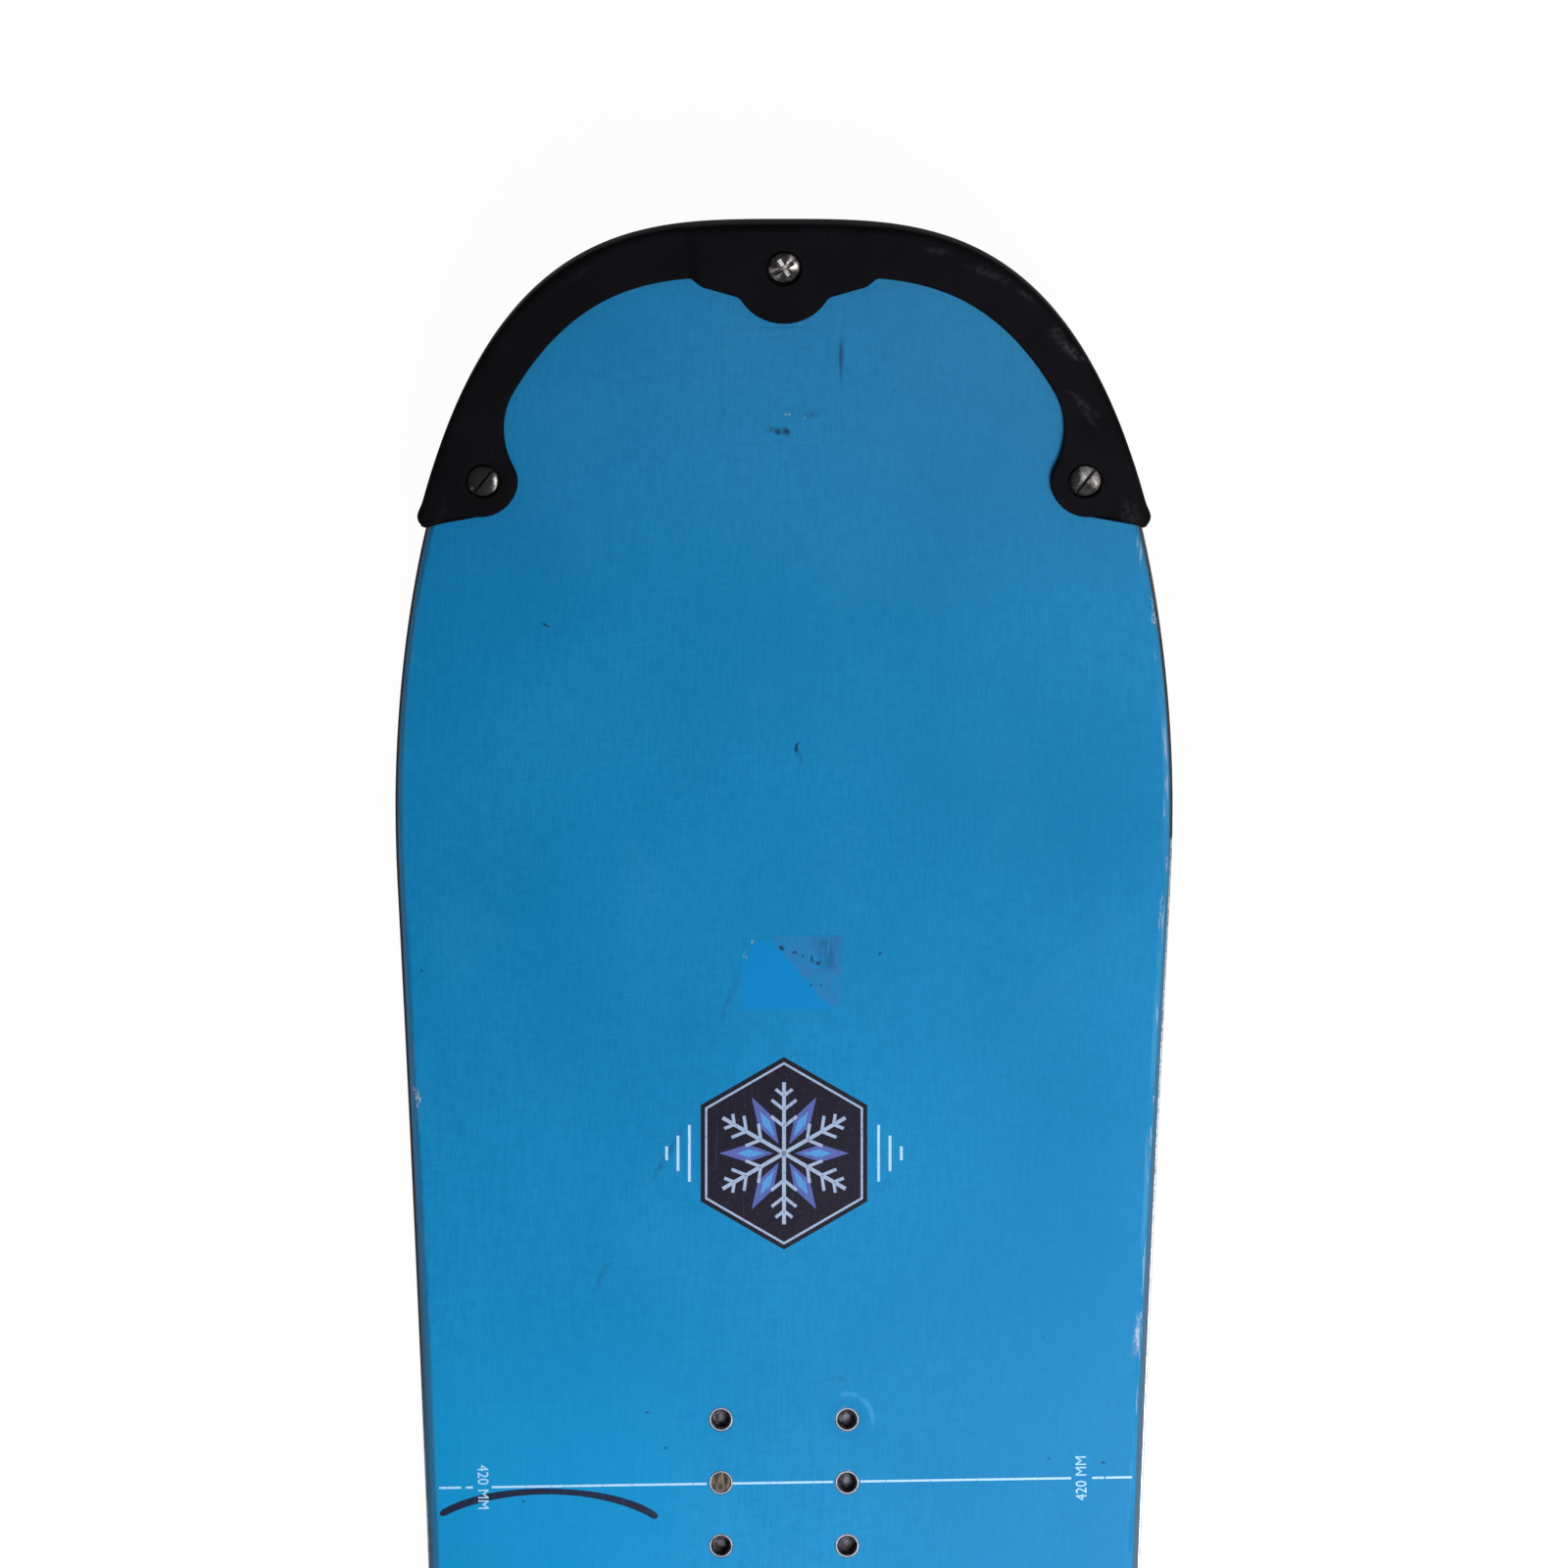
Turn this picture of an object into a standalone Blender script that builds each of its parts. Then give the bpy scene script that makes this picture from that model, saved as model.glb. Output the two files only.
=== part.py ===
"""Junior snowboard of cap construction, with a moulded guard screwed over each tip.

The board is laid up as flat sheets, one on another, and then bent up at both tips, as the
press mould does. Flat coordinates are x across, u along the base from the middle, and h
above the base. The board lies on its base with +Y to the nose and +Z up, and the origin is
on the ground under its middle. All sizes are in metres.
"""

import math

import bmesh
import bpy
import numpy as np
from mathutils import Matrix, Vector

# Plan of the board
CONTACT_LENGTH = 0.850
WAIST_WIDTH = 0.2198
SIDECUT_RADIUS = 5.13
SIDECUT_LENGTH = 0.410
OUTER_SIDECUT_RADIUS = 15.3
WIDEST_EASE = 0.025
TIP_LENGTH = 0.1852
TIP_SIDE_POWER = 3.2
TIP_END_POWER = 1.9
TIP_BEND_RADIUS = 0.424

# Layers, from the base up, each with a bond line below it
BOND_GAP = 0.0003
BASE_THICKNESS = 0.0011
GLASS_THICKNESS = 0.0005
CORE_MIDDLE_THICKNESS = 0.0041
CORE_TIP_THICKNESS = 0.0015
CORE_FULL_LENGTH = 0.510
TOPSHEET_THICKNESS = 0.0005

# Steel edge with its anchor teeth, and the rubber strip over the teeth
EDGE_WIDTH = 0.0018
EDGE_HEIGHT = 0.0018
TOOTH_REACH = 0.0042
TOOTH_LENGTH = 0.034
TOOTH_PITCH = 0.046
RUBBER_THICKNESS = 0.0003

# Rolled side of the cap
CAP_LEAN = math.radians(28)
CAP_SETBACK = 0.0005
CAP_SHOULDER_RADIUS = 0.0020
RIM_RAMP = 0.0014
RIM_STEP = 0.0004

# Wood core
STRINGER_WIDTH = 0.020
EDGE_RAIL_WIDTH = 0.0095
EDGE_RAIL_LENGTH = 0.800
PLANK_COUNT_EACH_SIDE = 4

# Threaded inserts for the bindings
STANCE_WIDTH = 0.420
INSERT_COLUMN_SPACING = 0.040
INSERT_ROW_PITCH = 0.020
INSERT_ROWS_FROM_STANCE = (1, 0, -1, -2)
INSERT_BARREL_RADIUS = 0.00375
INSERT_BORE_RADIUS = 0.0025
INSERT_FLANGE_RADIUS = 0.0080
INSERT_FLANGE_THICKNESS = 0.0010
INSERT_FLOOR = 0.0006
INSERT_SETBACK = 0.0001

# Moulded tip guard
GUARD_FIT = 0.0005
GUARD_WALL = 0.0025
GUARD_FLANGE = 0.0025
GUARD_GROUND_CLEARANCE = 0.0007
GUARD_LENGTH_EACH_SIDE = 0.1655
GUARD_BAND_AT_LOBE = 0.0114
GUARD_BAND_AT_WING = 0.0137
GUARD_LOBE_RADIUS = 0.0110
GUARD_LOBE_FILLET = 0.0340
GUARD_WING_HALF_WIDTH = 0.0270
GUARD_WING_SLOPE = 0.0036
GUARD_WING_INSET = 0.0168
GUARD_WING_DEPTH = 0.0209
GUARD_WING_RISE = 0.0007
GUARD_BOSS_RADIUS = 0.0161
GUARD_BOSS_REACH = 0.0294
GUARD_CORNER_RADIUS = 0.0030
GUARD_CORNER_PULL = 0.0015
GUARD_SHOULDER = 0.0011
GUARD_EDGE_BEVEL = 0.0009

# Screws and sleeve nuts that hold the guard
SIDE_SCREW_FROM_END = 0.0204
SIDE_SCREW_INSET = 0.0134
CENTRE_SCREW_INSET = 0.0110
SCREW_HEAD_RADIUS = 0.0048
SCREW_HEAD_SIDE = 0.0007
SCREW_HEAD_DOME = 0.0008
SCREW_CROWN_RADIUS = 0.0029
SCREW_CROWN_RISE = 0.00056
SCREW_SHANK_RADIUS = 0.0020
SCREW_SLOT_WIDTH = 0.0010
SCREW_SLOT_DEPTH = 0.0008
SCREW_CROSS_SPAN = 0.0058
SIDE_SLOT_TURN = math.radians(50)
CENTRE_CROSS_TURN = math.radians(38)
COUNTERBORE_FLOOR = 0.0012
COUNTERBORE_CLEARANCE = 0.0005
NUT_HEAD_RADIUS = 0.0050
NUT_BARREL_RADIUS = 0.0028
NUT_FLOOR = 0.0008
NUT_BASE_SETBACK = 0.0001

# Facets, and the angles between which faces are smooth or a curve is cut
SMOOTH_ANGLE = math.radians(35)
SHOULDER_FACET = math.radians(60)
SAME_STATION = 1e-4
CORE_STATIONS = 3
TAPER_STATIONS = 2
TIP_STATIONS = 12
TURN_WEIGHT = 0.10
ROUND_SEGMENTS = 10
LOBE_STEPS = 6
FILLET_STEPS = 3
BAND_STEPS = 8
BOSS_STEPS = 4

# Levels that follow from the layers
CONTACT = CONTACT_LENGTH / 2
CORE_FLAT = CORE_FULL_LENGTH / 2
LOW_GLASS = BASE_THICKNESS + BOND_GAP
LOW_CORE = LOW_GLASS + GLASS_THICKNESS + BOND_GAP
RIM_RUBBER = EDGE_HEIGHT + BOND_GAP
RIM_GLASS = RIM_RUBBER + RUBBER_THICKNESS + BOND_GAP
RIM_CORE = RIM_GLASS + GLASS_THICKNESS + BOND_GAP
UNDER_TOPSHEET = TOPSHEET_THICKNESS + BOND_GAP
UNDER_GLASS = UNDER_TOPSHEET + GLASS_THICKNESS
OVER_CORE = UNDER_GLASS + BOND_GAP
TEETH_INSET = EDGE_WIDTH + TOOTH_REACH
RAMP_INSET = TEETH_INSET + 2 * BOND_GAP
RAISED_INSET = RAMP_INSET + 2 * RIM_STEP
SPACER_INSET = RAISED_INSET + RIM_RAMP + RIM_STEP
MIDDLE_HEIGHT = LOW_CORE + CORE_MIDDLE_THICKNESS + OVER_CORE
TIP_HEIGHT = LOW_CORE + CORE_TIP_THICKNESS + OVER_CORE


def linear(red, green, blue):
    """Turn a colour as seen, 0 to 255, into the linear colour that a shader takes."""
    values = [value / 255 for value in (red, green, blue)]
    return [v / 12.92 if v <= 0.04045 else ((v + 0.055) / 1.055) ** 2.4 for v in values]


def material(name, colour, roughness, metallic=0.0):
    made = bpy.data.materials.new(name)
    made.use_nodes = True
    shader = made.node_tree.nodes["Principled BSDF"]
    shader.inputs["Base Color"].default_value = (*colour, 1.0)
    shader.inputs["Roughness"].default_value = roughness
    shader.inputs["Metallic"].default_value = metallic
    made.diffuse_color = (*colour, 1.0)
    return made


def make_materials():
    return {
        "topsheet": material("blue_topsheet", linear(28, 140, 196), 0.38),
        "glass": material("glass_laminate", linear(196, 205, 178), 0.45),
        "stringer_pale": material("poplar_stringer", linear(205, 172, 122), 0.62),
        "stringer_dark": material("beech_stringer", linear(176, 128, 84), 0.62),
        "rail": material("bamboo_rail", linear(212, 180, 108), 0.58),
        "spacer": material("tip_spacer_plastic", linear(38, 38, 42), 0.55),
        "base": material("sintered_base", linear(24, 25, 28), 0.42),
        "steel": material("edge_steel", linear(150, 152, 156), 0.32, 1.0),
        "bond_rubber": material("bond_rubber", linear(30, 30, 30), 0.85),
        "insert": material("insert_steel", linear(176, 178, 182), 0.28, 1.0),
        "guard": material("guard_elastomer", linear(22, 21, 25), 0.55),
        "screw": material("zinc_screw", linear(186, 184, 178), 0.30, 1.0),
        "nut": material("zinc_nut", linear(168, 168, 166), 0.34, 1.0),
    }


def bend(x, u, h):
    """Roll flat points up round the tip bends; the part between the contact points stays flat."""
    angle = np.maximum(np.abs(u) - CONTACT, 0.0) / TIP_BEND_RADIUS
    flat_run = np.minimum(np.abs(u), CONTACT)
    y = np.sign(u) * (flat_run + (TIP_BEND_RADIUS - h) * np.sin(angle))
    z = TIP_BEND_RADIUS - (TIP_BEND_RADIUS - h) * np.cos(angle)
    return np.stack(np.broadcast_arrays(x, y, z), axis=-1)


def frame_at(x, u):
    """Local frame on the base line at (x, u): Z out of the base, Y along it."""
    angle = max(abs(u) - CONTACT, 0.0) / TIP_BEND_RADIUS
    lean = math.copysign(angle, u)
    place = Vector([float(value) for value in bend(x, u, 0.0)])
    return Matrix.Translation(place) @ Matrix.Rotation(lean, 4, "X")


def core_thickness(u):
    """Full thickness under the feet, then an even taper to the contact points."""
    share = np.clip((np.abs(u) - CORE_FLAT) / (CONTACT - CORE_FLAT), 0.0, 1.0)
    return CORE_MIDDLE_THICKNESS + share * (CORE_TIP_THICKNESS - CORE_MIDDLE_THICKNESS)


def top_height(u):
    return LOW_CORE + core_thickness(u) + OVER_CORE


def sidecut_half_width(u):
    """An arc at the waist, a flatter arc towards the tips, and an ease into the widest point."""
    inner_end = SIDECUT_LENGTH / 2
    outer_end = CONTACT - WIDEST_EASE
    inner = np.clip(u, 0.0, inner_end)
    outer = np.clip(u - inner_end, 0.0, outer_end - inner_end)
    ease = np.clip(u - outer_end, 0.0, WIDEST_EASE)
    slope = inner_end / SIDECUT_RADIUS
    end_slope = slope + (outer_end - inner_end) / OUTER_SIDECUT_RADIUS
    half = WAIST_WIDTH / 2 + inner**2 / (2 * SIDECUT_RADIUS)
    half = half + slope * outer + outer**2 / (2 * OUTER_SIDECUT_RADIUS)
    return half + end_slope * ease - end_slope * ease**2 / (2 * WIDEST_EASE)


def tip_curve(steps=1200):
    """Outline of the nose from the contact point to the end, a superellipse, evenly spaced."""
    t = np.linspace(0.0, math.pi / 2, steps)
    x = float(sidecut_half_width(CONTACT)) * np.maximum(np.cos(t), 0.0) ** (2 / TIP_SIDE_POWER)
    u = CONTACT + TIP_LENGTH * np.sin(t) ** (2 / TIP_END_POWER)
    x[-1] = 0.0
    run = np.concatenate([[0.0], np.cumsum(np.hypot(np.diff(x), np.diff(u)))])
    even = np.linspace(0.0, run[-1], steps)
    return np.interp(even, run, x), np.interp(even, run, u), even


def with_normals(x, u):
    """Outward normals of the right-hand edge, which runs from the middle to the nose."""
    step_x, step_u = np.gradient(x), np.gradient(u)
    length = np.hypot(step_x, step_u)
    normal_x, normal_u = step_u / length, -step_x / length
    normal_x[-1], normal_u[-1] = 0.0, 1.0
    return normal_x, normal_u


def edge_stations():
    """Points and normals of the right-hand edge from the tail's end to the nose's end.

    Stations are close where the outline turns and wide where it is nearly straight.
    """
    full = np.linspace(0.0, CORE_FLAT, CORE_STATIONS, endpoint=False)
    taper = np.linspace(CORE_FLAT, CONTACT - WIDEST_EASE, TAPER_STATIONS, endpoint=False)
    middle_u = np.concatenate([full, taper, [CONTACT - WIDEST_EASE]])
    middle_x = sidecut_half_width(middle_u)
    slope = (sidecut_half_width(middle_u + SAME_STATION) - middle_x) / SAME_STATION
    middle_nx = 1.0 / np.hypot(1.0, slope)
    middle_nu = -slope * middle_nx
    tip_x, tip_u, run = tip_curve()
    tip_nx, tip_nu = with_normals(tip_x, tip_u)
    turn = np.abs(np.diff(np.arctan2(tip_nu, tip_nx)))
    effort = np.concatenate([[0.0], np.cumsum(np.diff(run) + TURN_WEIGHT * turn)])
    picked = np.interp(np.linspace(0.0, effort[-1], TIP_STATIONS + 1), effort, np.arange(len(run)))
    picked = np.round(picked).astype(int)
    nose = np.stack(
        [
            np.concatenate([middle_x, tip_x[picked]]),
            np.concatenate([middle_u, tip_u[picked]]),
            np.concatenate([middle_nx, tip_nx[picked]]),
            np.concatenate([middle_nu, tip_nu[picked]]),
        ]
    )
    tail = nose[:, :0:-1] * np.array([[1], [-1], [1], [-1]])
    return np.concatenate([tail, nose], axis=1)


STATIONS = edge_stations()


def stations_between(first, last):
    """Stations of the right-hand edge from u = first to u = last, with both ends."""
    x, u, nx, nu = STATIONS
    inside = (u > first + SAME_STATION) & (u < last - SAME_STATION)
    wanted = np.unique(np.concatenate([[first, last], u[inside]]))
    moved_x, moved_nx, moved_nu = (np.interp(wanted, u, line) for line in (x, nx, nu))
    return np.stack([moved_x, wanted, moved_nx, moved_nu])


def inset_line(stations, inset):
    """The edge moved inwards by an inset, which may differ from station to station."""
    x, u, nx, nu = stations
    return x - inset * nx, u - inset * nu


def cap_centre(height):
    """Inset of the shoulder's centre, for a cap whose top is at this height."""
    rise = height - CAP_SHOULDER_RADIUS * (1 - math.sin(CAP_LEAN)) - RIM_RUBBER
    return CAP_SETBACK + CAP_SHOULDER_RADIUS * math.cos(CAP_LEAN) + rise * math.tan(CAP_LEAN)


def cap_inset(depth, level):
    """Inset of the cap's leaning side at a level, at a depth below its outer face."""
    return CAP_SETBACK + depth / math.cos(CAP_LEAN) + (level - RIM_RUBBER) * math.tan(CAP_LEAN)


def cap_profile(depth, bottom, height, rounded=True):
    """(inset, level) of the rolled side from its bottom edge up over the shoulder to the top."""
    radius = CAP_SHOULDER_RADIUS - depth
    centre = cap_centre(height)
    middle = height - CAP_SHOULDER_RADIUS + radius * math.sin(SHOULDER_FACET)
    profile = [
        (cap_inset(depth, bottom) + 0 * height, bottom + 0 * height),
        (centre - radius * math.cos(SHOULDER_FACET), middle),
        (centre, height - depth),
    ]
    return profile if rounded else profile[::2]


def object_from(name, mesh_builder, finish, smooth=False):
    """Finish a bmesh: outward faces, one object with its material, in the scene."""
    bmesh.ops.recalc_face_normals(mesh_builder, faces=mesh_builder.faces)
    mesh = bpy.data.meshes.new(name)
    mesh_builder.to_mesh(mesh)
    mesh_builder.free()
    if smooth:
        mesh.shade_smooth()
        mesh.set_sharp_from_angle(angle=SMOOTH_ANGLE)
    made = bpy.data.objects.new(name, mesh)
    if finish is not None:
        mesh.materials.append(finish)
    bpy.context.scene.collection.objects.link(made)
    return made


def join_loops(builder, first, second, closed=True):
    count = len(first)
    for index in range(count if closed else count - 1):
        after = (index + 1) % count
        builder.faces.new((first[index], first[after], second[after], second[index]))


def sheet(name, profile, finish):
    """A sheet that fills the outline: rings at (inset, level), with flat strips across the ends."""
    builder = bmesh.new()
    stations = len(STATIONS[0])
    rings = []
    for inset, level in profile:
        x, u = inset_line(STATIONS, inset)
        h = level + 0 * u
        right = bend(x, u, h)
        left = bend(-x, u, h)[-2:0:-1]
        rings.append([builder.verts.new(point) for point in np.concatenate([right, left])])
    for lower, upper in zip(rings, rings[1:]):
        join_loops(builder, lower, upper)
    for ring in (rings[0], rings[-1]):
        total = len(ring)
        builder.faces.new((ring[0], ring[1], ring[total - 1]))
        for index in range(1, stations - 2):
            builder.faces.new((ring[index], ring[index + 1], ring[total - index - 1], ring[total - index]))
        builder.faces.new((ring[stations - 2], ring[stations - 1], ring[stations]))
    return object_from(name, builder, finish)


def swept(name, sections, finish):
    """A bar through cross-sections of (x, u, h) points, closed at both ends."""
    builder = bmesh.new()
    loops = []
    for section in sections:
        points = bend(section[:, 0], section[:, 1], section[:, 2])
        loops.append([builder.verts.new(point) for point in points])
    for near, far in zip(loops, loops[1:]):
        join_loops(builder, near, far)
    builder.faces.new(loops[0])
    builder.faces.new(loops[-1])
    return object_from(name, builder, finish)


def edge_sections(stations, profile, side):
    """Cross-sections along one side of the board from (inset, level) pairs."""
    columns = []
    for inset, level in profile:
        x, u = inset_line(stations, inset)
        columns.append(np.stack([side * x, u, level + 0 * u], axis=-1))
    return np.stack(columns, axis=1)


def turned_rings(builder, profile, frame):
    """Add a solid of revolution from (radius, height) pairs that start and end on the axis."""
    angles = np.arange(ROUND_SEGMENTS) * 2 * math.pi / ROUND_SEGMENTS
    rings = []
    for radius, height in profile:
        if radius == 0:
            rings.append([builder.verts.new(frame @ Vector((0, 0, height)))])
            continue
        points = [Vector((radius * math.cos(a), radius * math.sin(a), height)) for a in angles]
        rings.append([builder.verts.new(frame @ point) for point in points])
    for lower, upper in zip(rings, rings[1:]):
        if len(lower) > 1 and len(upper) > 1:
            join_loops(builder, lower, upper)
            continue
        centre, ring = (lower[0], upper) if len(lower) == 1 else (upper[0], lower)
        for index in range(len(ring)):
            builder.faces.new((centre, ring[index], ring[(index + 1) % len(ring)]))


def turned(name, profile, frame, finish):
    builder = bmesh.new()
    turned_rings(builder, profile, frame)
    return object_from(name, builder, finish, smooth=True)


def cutter(name, profile, frames):
    """One hidden tool that holds a turned cutter at each frame."""
    builder = bmesh.new()
    for frame in frames:
        turned_rings(builder, profile, frame)
    return as_tool(object_from(name, builder, None))


def as_tool(made):
    made.hide_render = True
    made.display_type = "WIRE"
    return made


def cut(target, tool):
    modifier = target.modifiers.new(tool.name, "BOOLEAN")
    modifier.operation = "DIFFERENCE"
    modifier.solver = "EXACT"
    modifier.object = tool


def insert_places():
    """(x, u) of the threaded inserts: two columns and four rows under each foot."""
    distances = [STANCE_WIDTH / 2 + row * INSERT_ROW_PITCH for row in INSERT_ROWS_FROM_STANCE]
    columns = (-INSERT_COLUMN_SPACING / 2, INSERT_COLUMN_SPACING / 2)
    front = [(x, distance) for distance in distances for x in columns]
    rear = [(x, -distance) for distance in distances for x in columns]
    return {"front": front, "rear": rear}


def guard_edge(run):
    """Outline point and outward normal at a run along the nose edge from the guard's end."""
    x, u, distance = tip_curve()
    nx, nu = with_normals(x, u)
    start = distance[-1] - GUARD_LENGTH_EACH_SIDE
    at = np.clip(start + run, 0.0, distance[-1])
    return [np.interp(at, distance, line) for line in (x, u, nx, nu)]


def guard_point(run, inset):
    """Flat (x, u) of a point that lies at an inset from the outline at a run along it."""
    x, u, nx, nu = guard_edge(run)
    return x - inset * nx, u - inset * nu


def screw_places(end):
    """(x, u, turn) of the three guard screws at one end, +1 for the nose and -1 for the tail."""
    x, u = guard_point(SIDE_SCREW_FROM_END, SIDE_SCREW_INSET)
    _, centre_u = guard_point(GUARD_LENGTH_EACH_SIDE, CENTRE_SCREW_INSET)
    return {
        "left": (-float(x), end * float(u), SIDE_SLOT_TURN),
        "right": (float(x), end * float(u), SIDE_SLOT_TURN),
        "centre": (0.0, end * float(centre_u), CENTRE_CROSS_TURN),
    }


def arc(centre, radius, first, last, steps):
    angles = np.linspace(first, last, steps + 1)
    return [(centre[0] + radius * math.cos(a), centre[1] + radius * math.sin(a)) for a in angles]


def guard_inner_contour():
    """Inner edge of one half of the guard as (run, inset), and the matching runs outside.

    The end runs straight to the round lobe about the side screw. A fillet joins the lobe to
    the band, and the band leads to the sloped wing and the round boss of the centre screw.
    """
    lobe = (SIDE_SCREW_FROM_END, SIDE_SCREW_INSET)
    reach = math.hypot(*lobe)
    tangent = math.atan2(-lobe[1], -lobe[0]) - math.acos(GUARD_LOBE_RADIUS / reach)
    fillet_inset = GUARD_BAND_AT_LOBE + GUARD_LOBE_FILLET
    join = GUARD_LOBE_RADIUS + GUARD_LOBE_FILLET
    fillet_run = lobe[0] + math.sqrt(join**2 - (fillet_inset - lobe[1]) ** 2)
    toward = math.atan2(fillet_inset - lobe[1], fillet_run - lobe[0])
    lobe_arc = arc(lobe, GUARD_LOBE_RADIUS, tangent + 2 * math.pi, toward, LOBE_STEPS)
    fillet_arc = arc(
        (fillet_run, fillet_inset), GUARD_LOBE_FILLET, toward + math.pi, 1.5 * math.pi, FILLET_STEPS
    )
    near_end = lobe_arc + fillet_arc[1:]
    lengths = [math.dist(a, b) for a, b in zip(near_end, near_end[1:])]
    share = np.concatenate([[0.0], np.cumsum(lengths)]) / sum(lengths)
    outer = list(share * fillet_run)
    wing_run = GUARD_LENGTH_EACH_SIDE - GUARD_WING_HALF_WIDTH - GUARD_WING_SLOPE
    band_runs = np.linspace(fillet_run, wing_run, BAND_STEPS + 1)[1:]
    band_insets = np.linspace(GUARD_BAND_AT_LOBE, GUARD_BAND_AT_WING, BAND_STEPS + 1)[1:]
    band = list(zip(band_runs, band_insets))
    boss = (GUARD_LENGTH_EACH_SIDE, GUARD_BOSS_REACH - GUARD_BOSS_RADIUS)
    from_wing = math.pi - math.asin((GUARD_WING_DEPTH - boss[1]) / GUARD_BOSS_RADIUS)
    boss_arc = arc(boss, GUARD_BOSS_RADIUS, from_wing, math.pi / 2, BOSS_STEPS)
    wing = [(GUARD_LENGTH_EACH_SIDE - GUARD_WING_HALF_WIDTH, GUARD_WING_INSET)]
    inner = near_end + band + wing + boss_arc
    outer += [run for run, _ in band + wing + boss_arc]
    return inner, outer


def guard_section(inner, outer_run, rise):
    """One cross-section of the guard: side wall outside the edge, flange over the topsheet."""
    top = TIP_HEIGHT + BOND_GAP + GUARD_FLANGE + rise
    corner = max(GUARD_CORNER_RADIUS - outer_run, 0.0)
    pull_in = GUARD_CORNER_RADIUS - math.sqrt(GUARD_CORNER_RADIUS**2 - corner**2)
    face = -(GUARD_FIT + GUARD_WALL) + min(pull_in, GUARD_CORNER_PULL)
    inner_x, inner_u = guard_point(inner[0], inner[1])
    outer_x, outer_u = guard_point(outer_run, 0.0)
    depth = math.hypot(inner_x - outer_x, inner_u - outer_u)

    def place(inset, level):
        if inset <= 0:
            x, u = guard_point(outer_run, inset)
        else:
            x = outer_x + (inner_x - outer_x) * inset / depth
            u = outer_u + (inner_u - outer_u) * inset / depth
        return x, u, level

    bevel = GUARD_EDGE_BEVEL
    underside = TIP_HEIGHT + BOND_GAP
    return np.array(
        [
            place(face + bevel / 2, GUARD_GROUND_CLEARANCE),
            place(face, GUARD_GROUND_CLEARANCE + bevel),
            place(face, top - 2 * GUARD_SHOULDER),
            place(face + GUARD_SHOULDER / 2, top - GUARD_SHOULDER / 2),
            place(min(face + 2 * GUARD_SHOULDER, 0.0), top),
            place(depth / 2, top),
            place(depth - bevel, top),
            place(depth, top - bevel),
            place(depth, underside),
            place(depth / 2, underside),
            place(-GUARD_FIT, underside),
            place(-GUARD_FIT, GUARD_GROUND_CLEARANCE),
        ]
    )


def guard(name, end, finish, tool):
    """The whole guard at one end, swept from its left corner round the tip to its right one."""
    inner, outer = guard_inner_contour()
    wing_from = GUARD_LENGTH_EACH_SIDE - GUARD_WING_HALF_WIDTH
    right = []
    for point, run in zip(inner, outer):
        rise = GUARD_WING_RISE if point[0] > wing_from - SAME_STATION else 0.0
        right.append(guard_section(point, run, rise) * np.array([1, end, 1]))
    left = [section * np.array([-1, 1, 1]) for section in right[:-1]]
    made = swept(name, left + right[::-1], finish)
    cut(made, tool)
    return made


def steel_edge(name, side, finish):
    """A square bar along one side, with a comb of anchor teeth that lies over the base."""
    x, u, nx, nu = STATIONS
    run = np.concatenate([[0.0], np.cumsum(np.hypot(np.diff(x), np.diff(u)))])
    total = run[-1]
    count = int((total / 2) // TOOTH_PITCH)
    starts = total / 2 + (np.arange(-count, count) + 0.5) * TOOTH_PITCH - TOOTH_LENGTH / 2
    starts = starts[(starts > TOOTH_PITCH / 2) & (starts + TOOTH_LENGTH < total - TOOTH_PITCH / 2)]
    cuts = np.concatenate([starts, starts + TOOTH_LENGTH])
    clear = np.abs(run[:, None] - cuts[None, :]).min(axis=1) > SAME_STATION
    bounds = np.sort(np.concatenate([run[clear], cuts]))
    bounds[0], bounds[-1] = BOND_GAP / 2, total - BOND_GAP / 2
    line = np.stack([np.interp(bounds, run, values) for values in STATIONS])
    tooth_low = BASE_THICKNESS + BOND_GAP
    profile = [
        (0.0, 0.0),
        (EDGE_WIDTH, 0.0),
        (EDGE_WIDTH, tooth_low),
        (EDGE_WIDTH, EDGE_HEIGHT),
        (0.0, EDGE_HEIGHT),
        (TEETH_INSET, tooth_low),
        (TEETH_INSET, EDGE_HEIGHT),
    ]
    sections = edge_sections(line, profile, side)
    middles = (bounds[:-1] + bounds[1:]) / 2
    toothed = [bool(((starts < m) & (m < starts + TOOTH_LENGTH)).any()) for m in middles]
    builder = bmesh.new()
    bars, tips = [], []
    for index, section in enumerate(sections):
        points = bend(section[:, 0], section[:, 1], section[:, 2])
        bars.append([builder.verts.new(point) for point in points[:5]])
        beside = toothed[max(index - 1, 0)] or toothed[min(index, len(toothed) - 1)]
        tips.append([builder.verts.new(point) for point in points[5:]] if beside else None)
    for index, tooth in enumerate(toothed):
        near, far = bars[index], bars[index + 1]
        for low in (0, 1, 3, 4) if tooth else range(5):
            high = (low + 1) % 5
            builder.faces.new((near[low], near[high], far[high], far[low]))
        if not tooth:
            continue
        tip, far_tip = tips[index], tips[index + 1]
        builder.faces.new((near[2], tip[0], far_tip[0], far[2]))
        builder.faces.new((near[3], tip[1], far_tip[1], far[3]))
        builder.faces.new((tip[0], tip[1], far_tip[1], far_tip[0]))
        if index == 0 or not toothed[index - 1]:
            builder.faces.new((near[2], near[3], tip[1], tip[0]))
        if index == len(toothed) - 1 or not toothed[index + 1]:
            builder.faces.new((far[2], far[3], far_tip[1], far_tip[0]))
    builder.faces.new(bars[0])
    builder.faces.new(bars[-1])
    return object_from(name, builder, finish)


def tip_range():
    """Stations from one end to the other without the two single points on the centre line."""
    return STATIONS[:, 1:-1]


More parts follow.
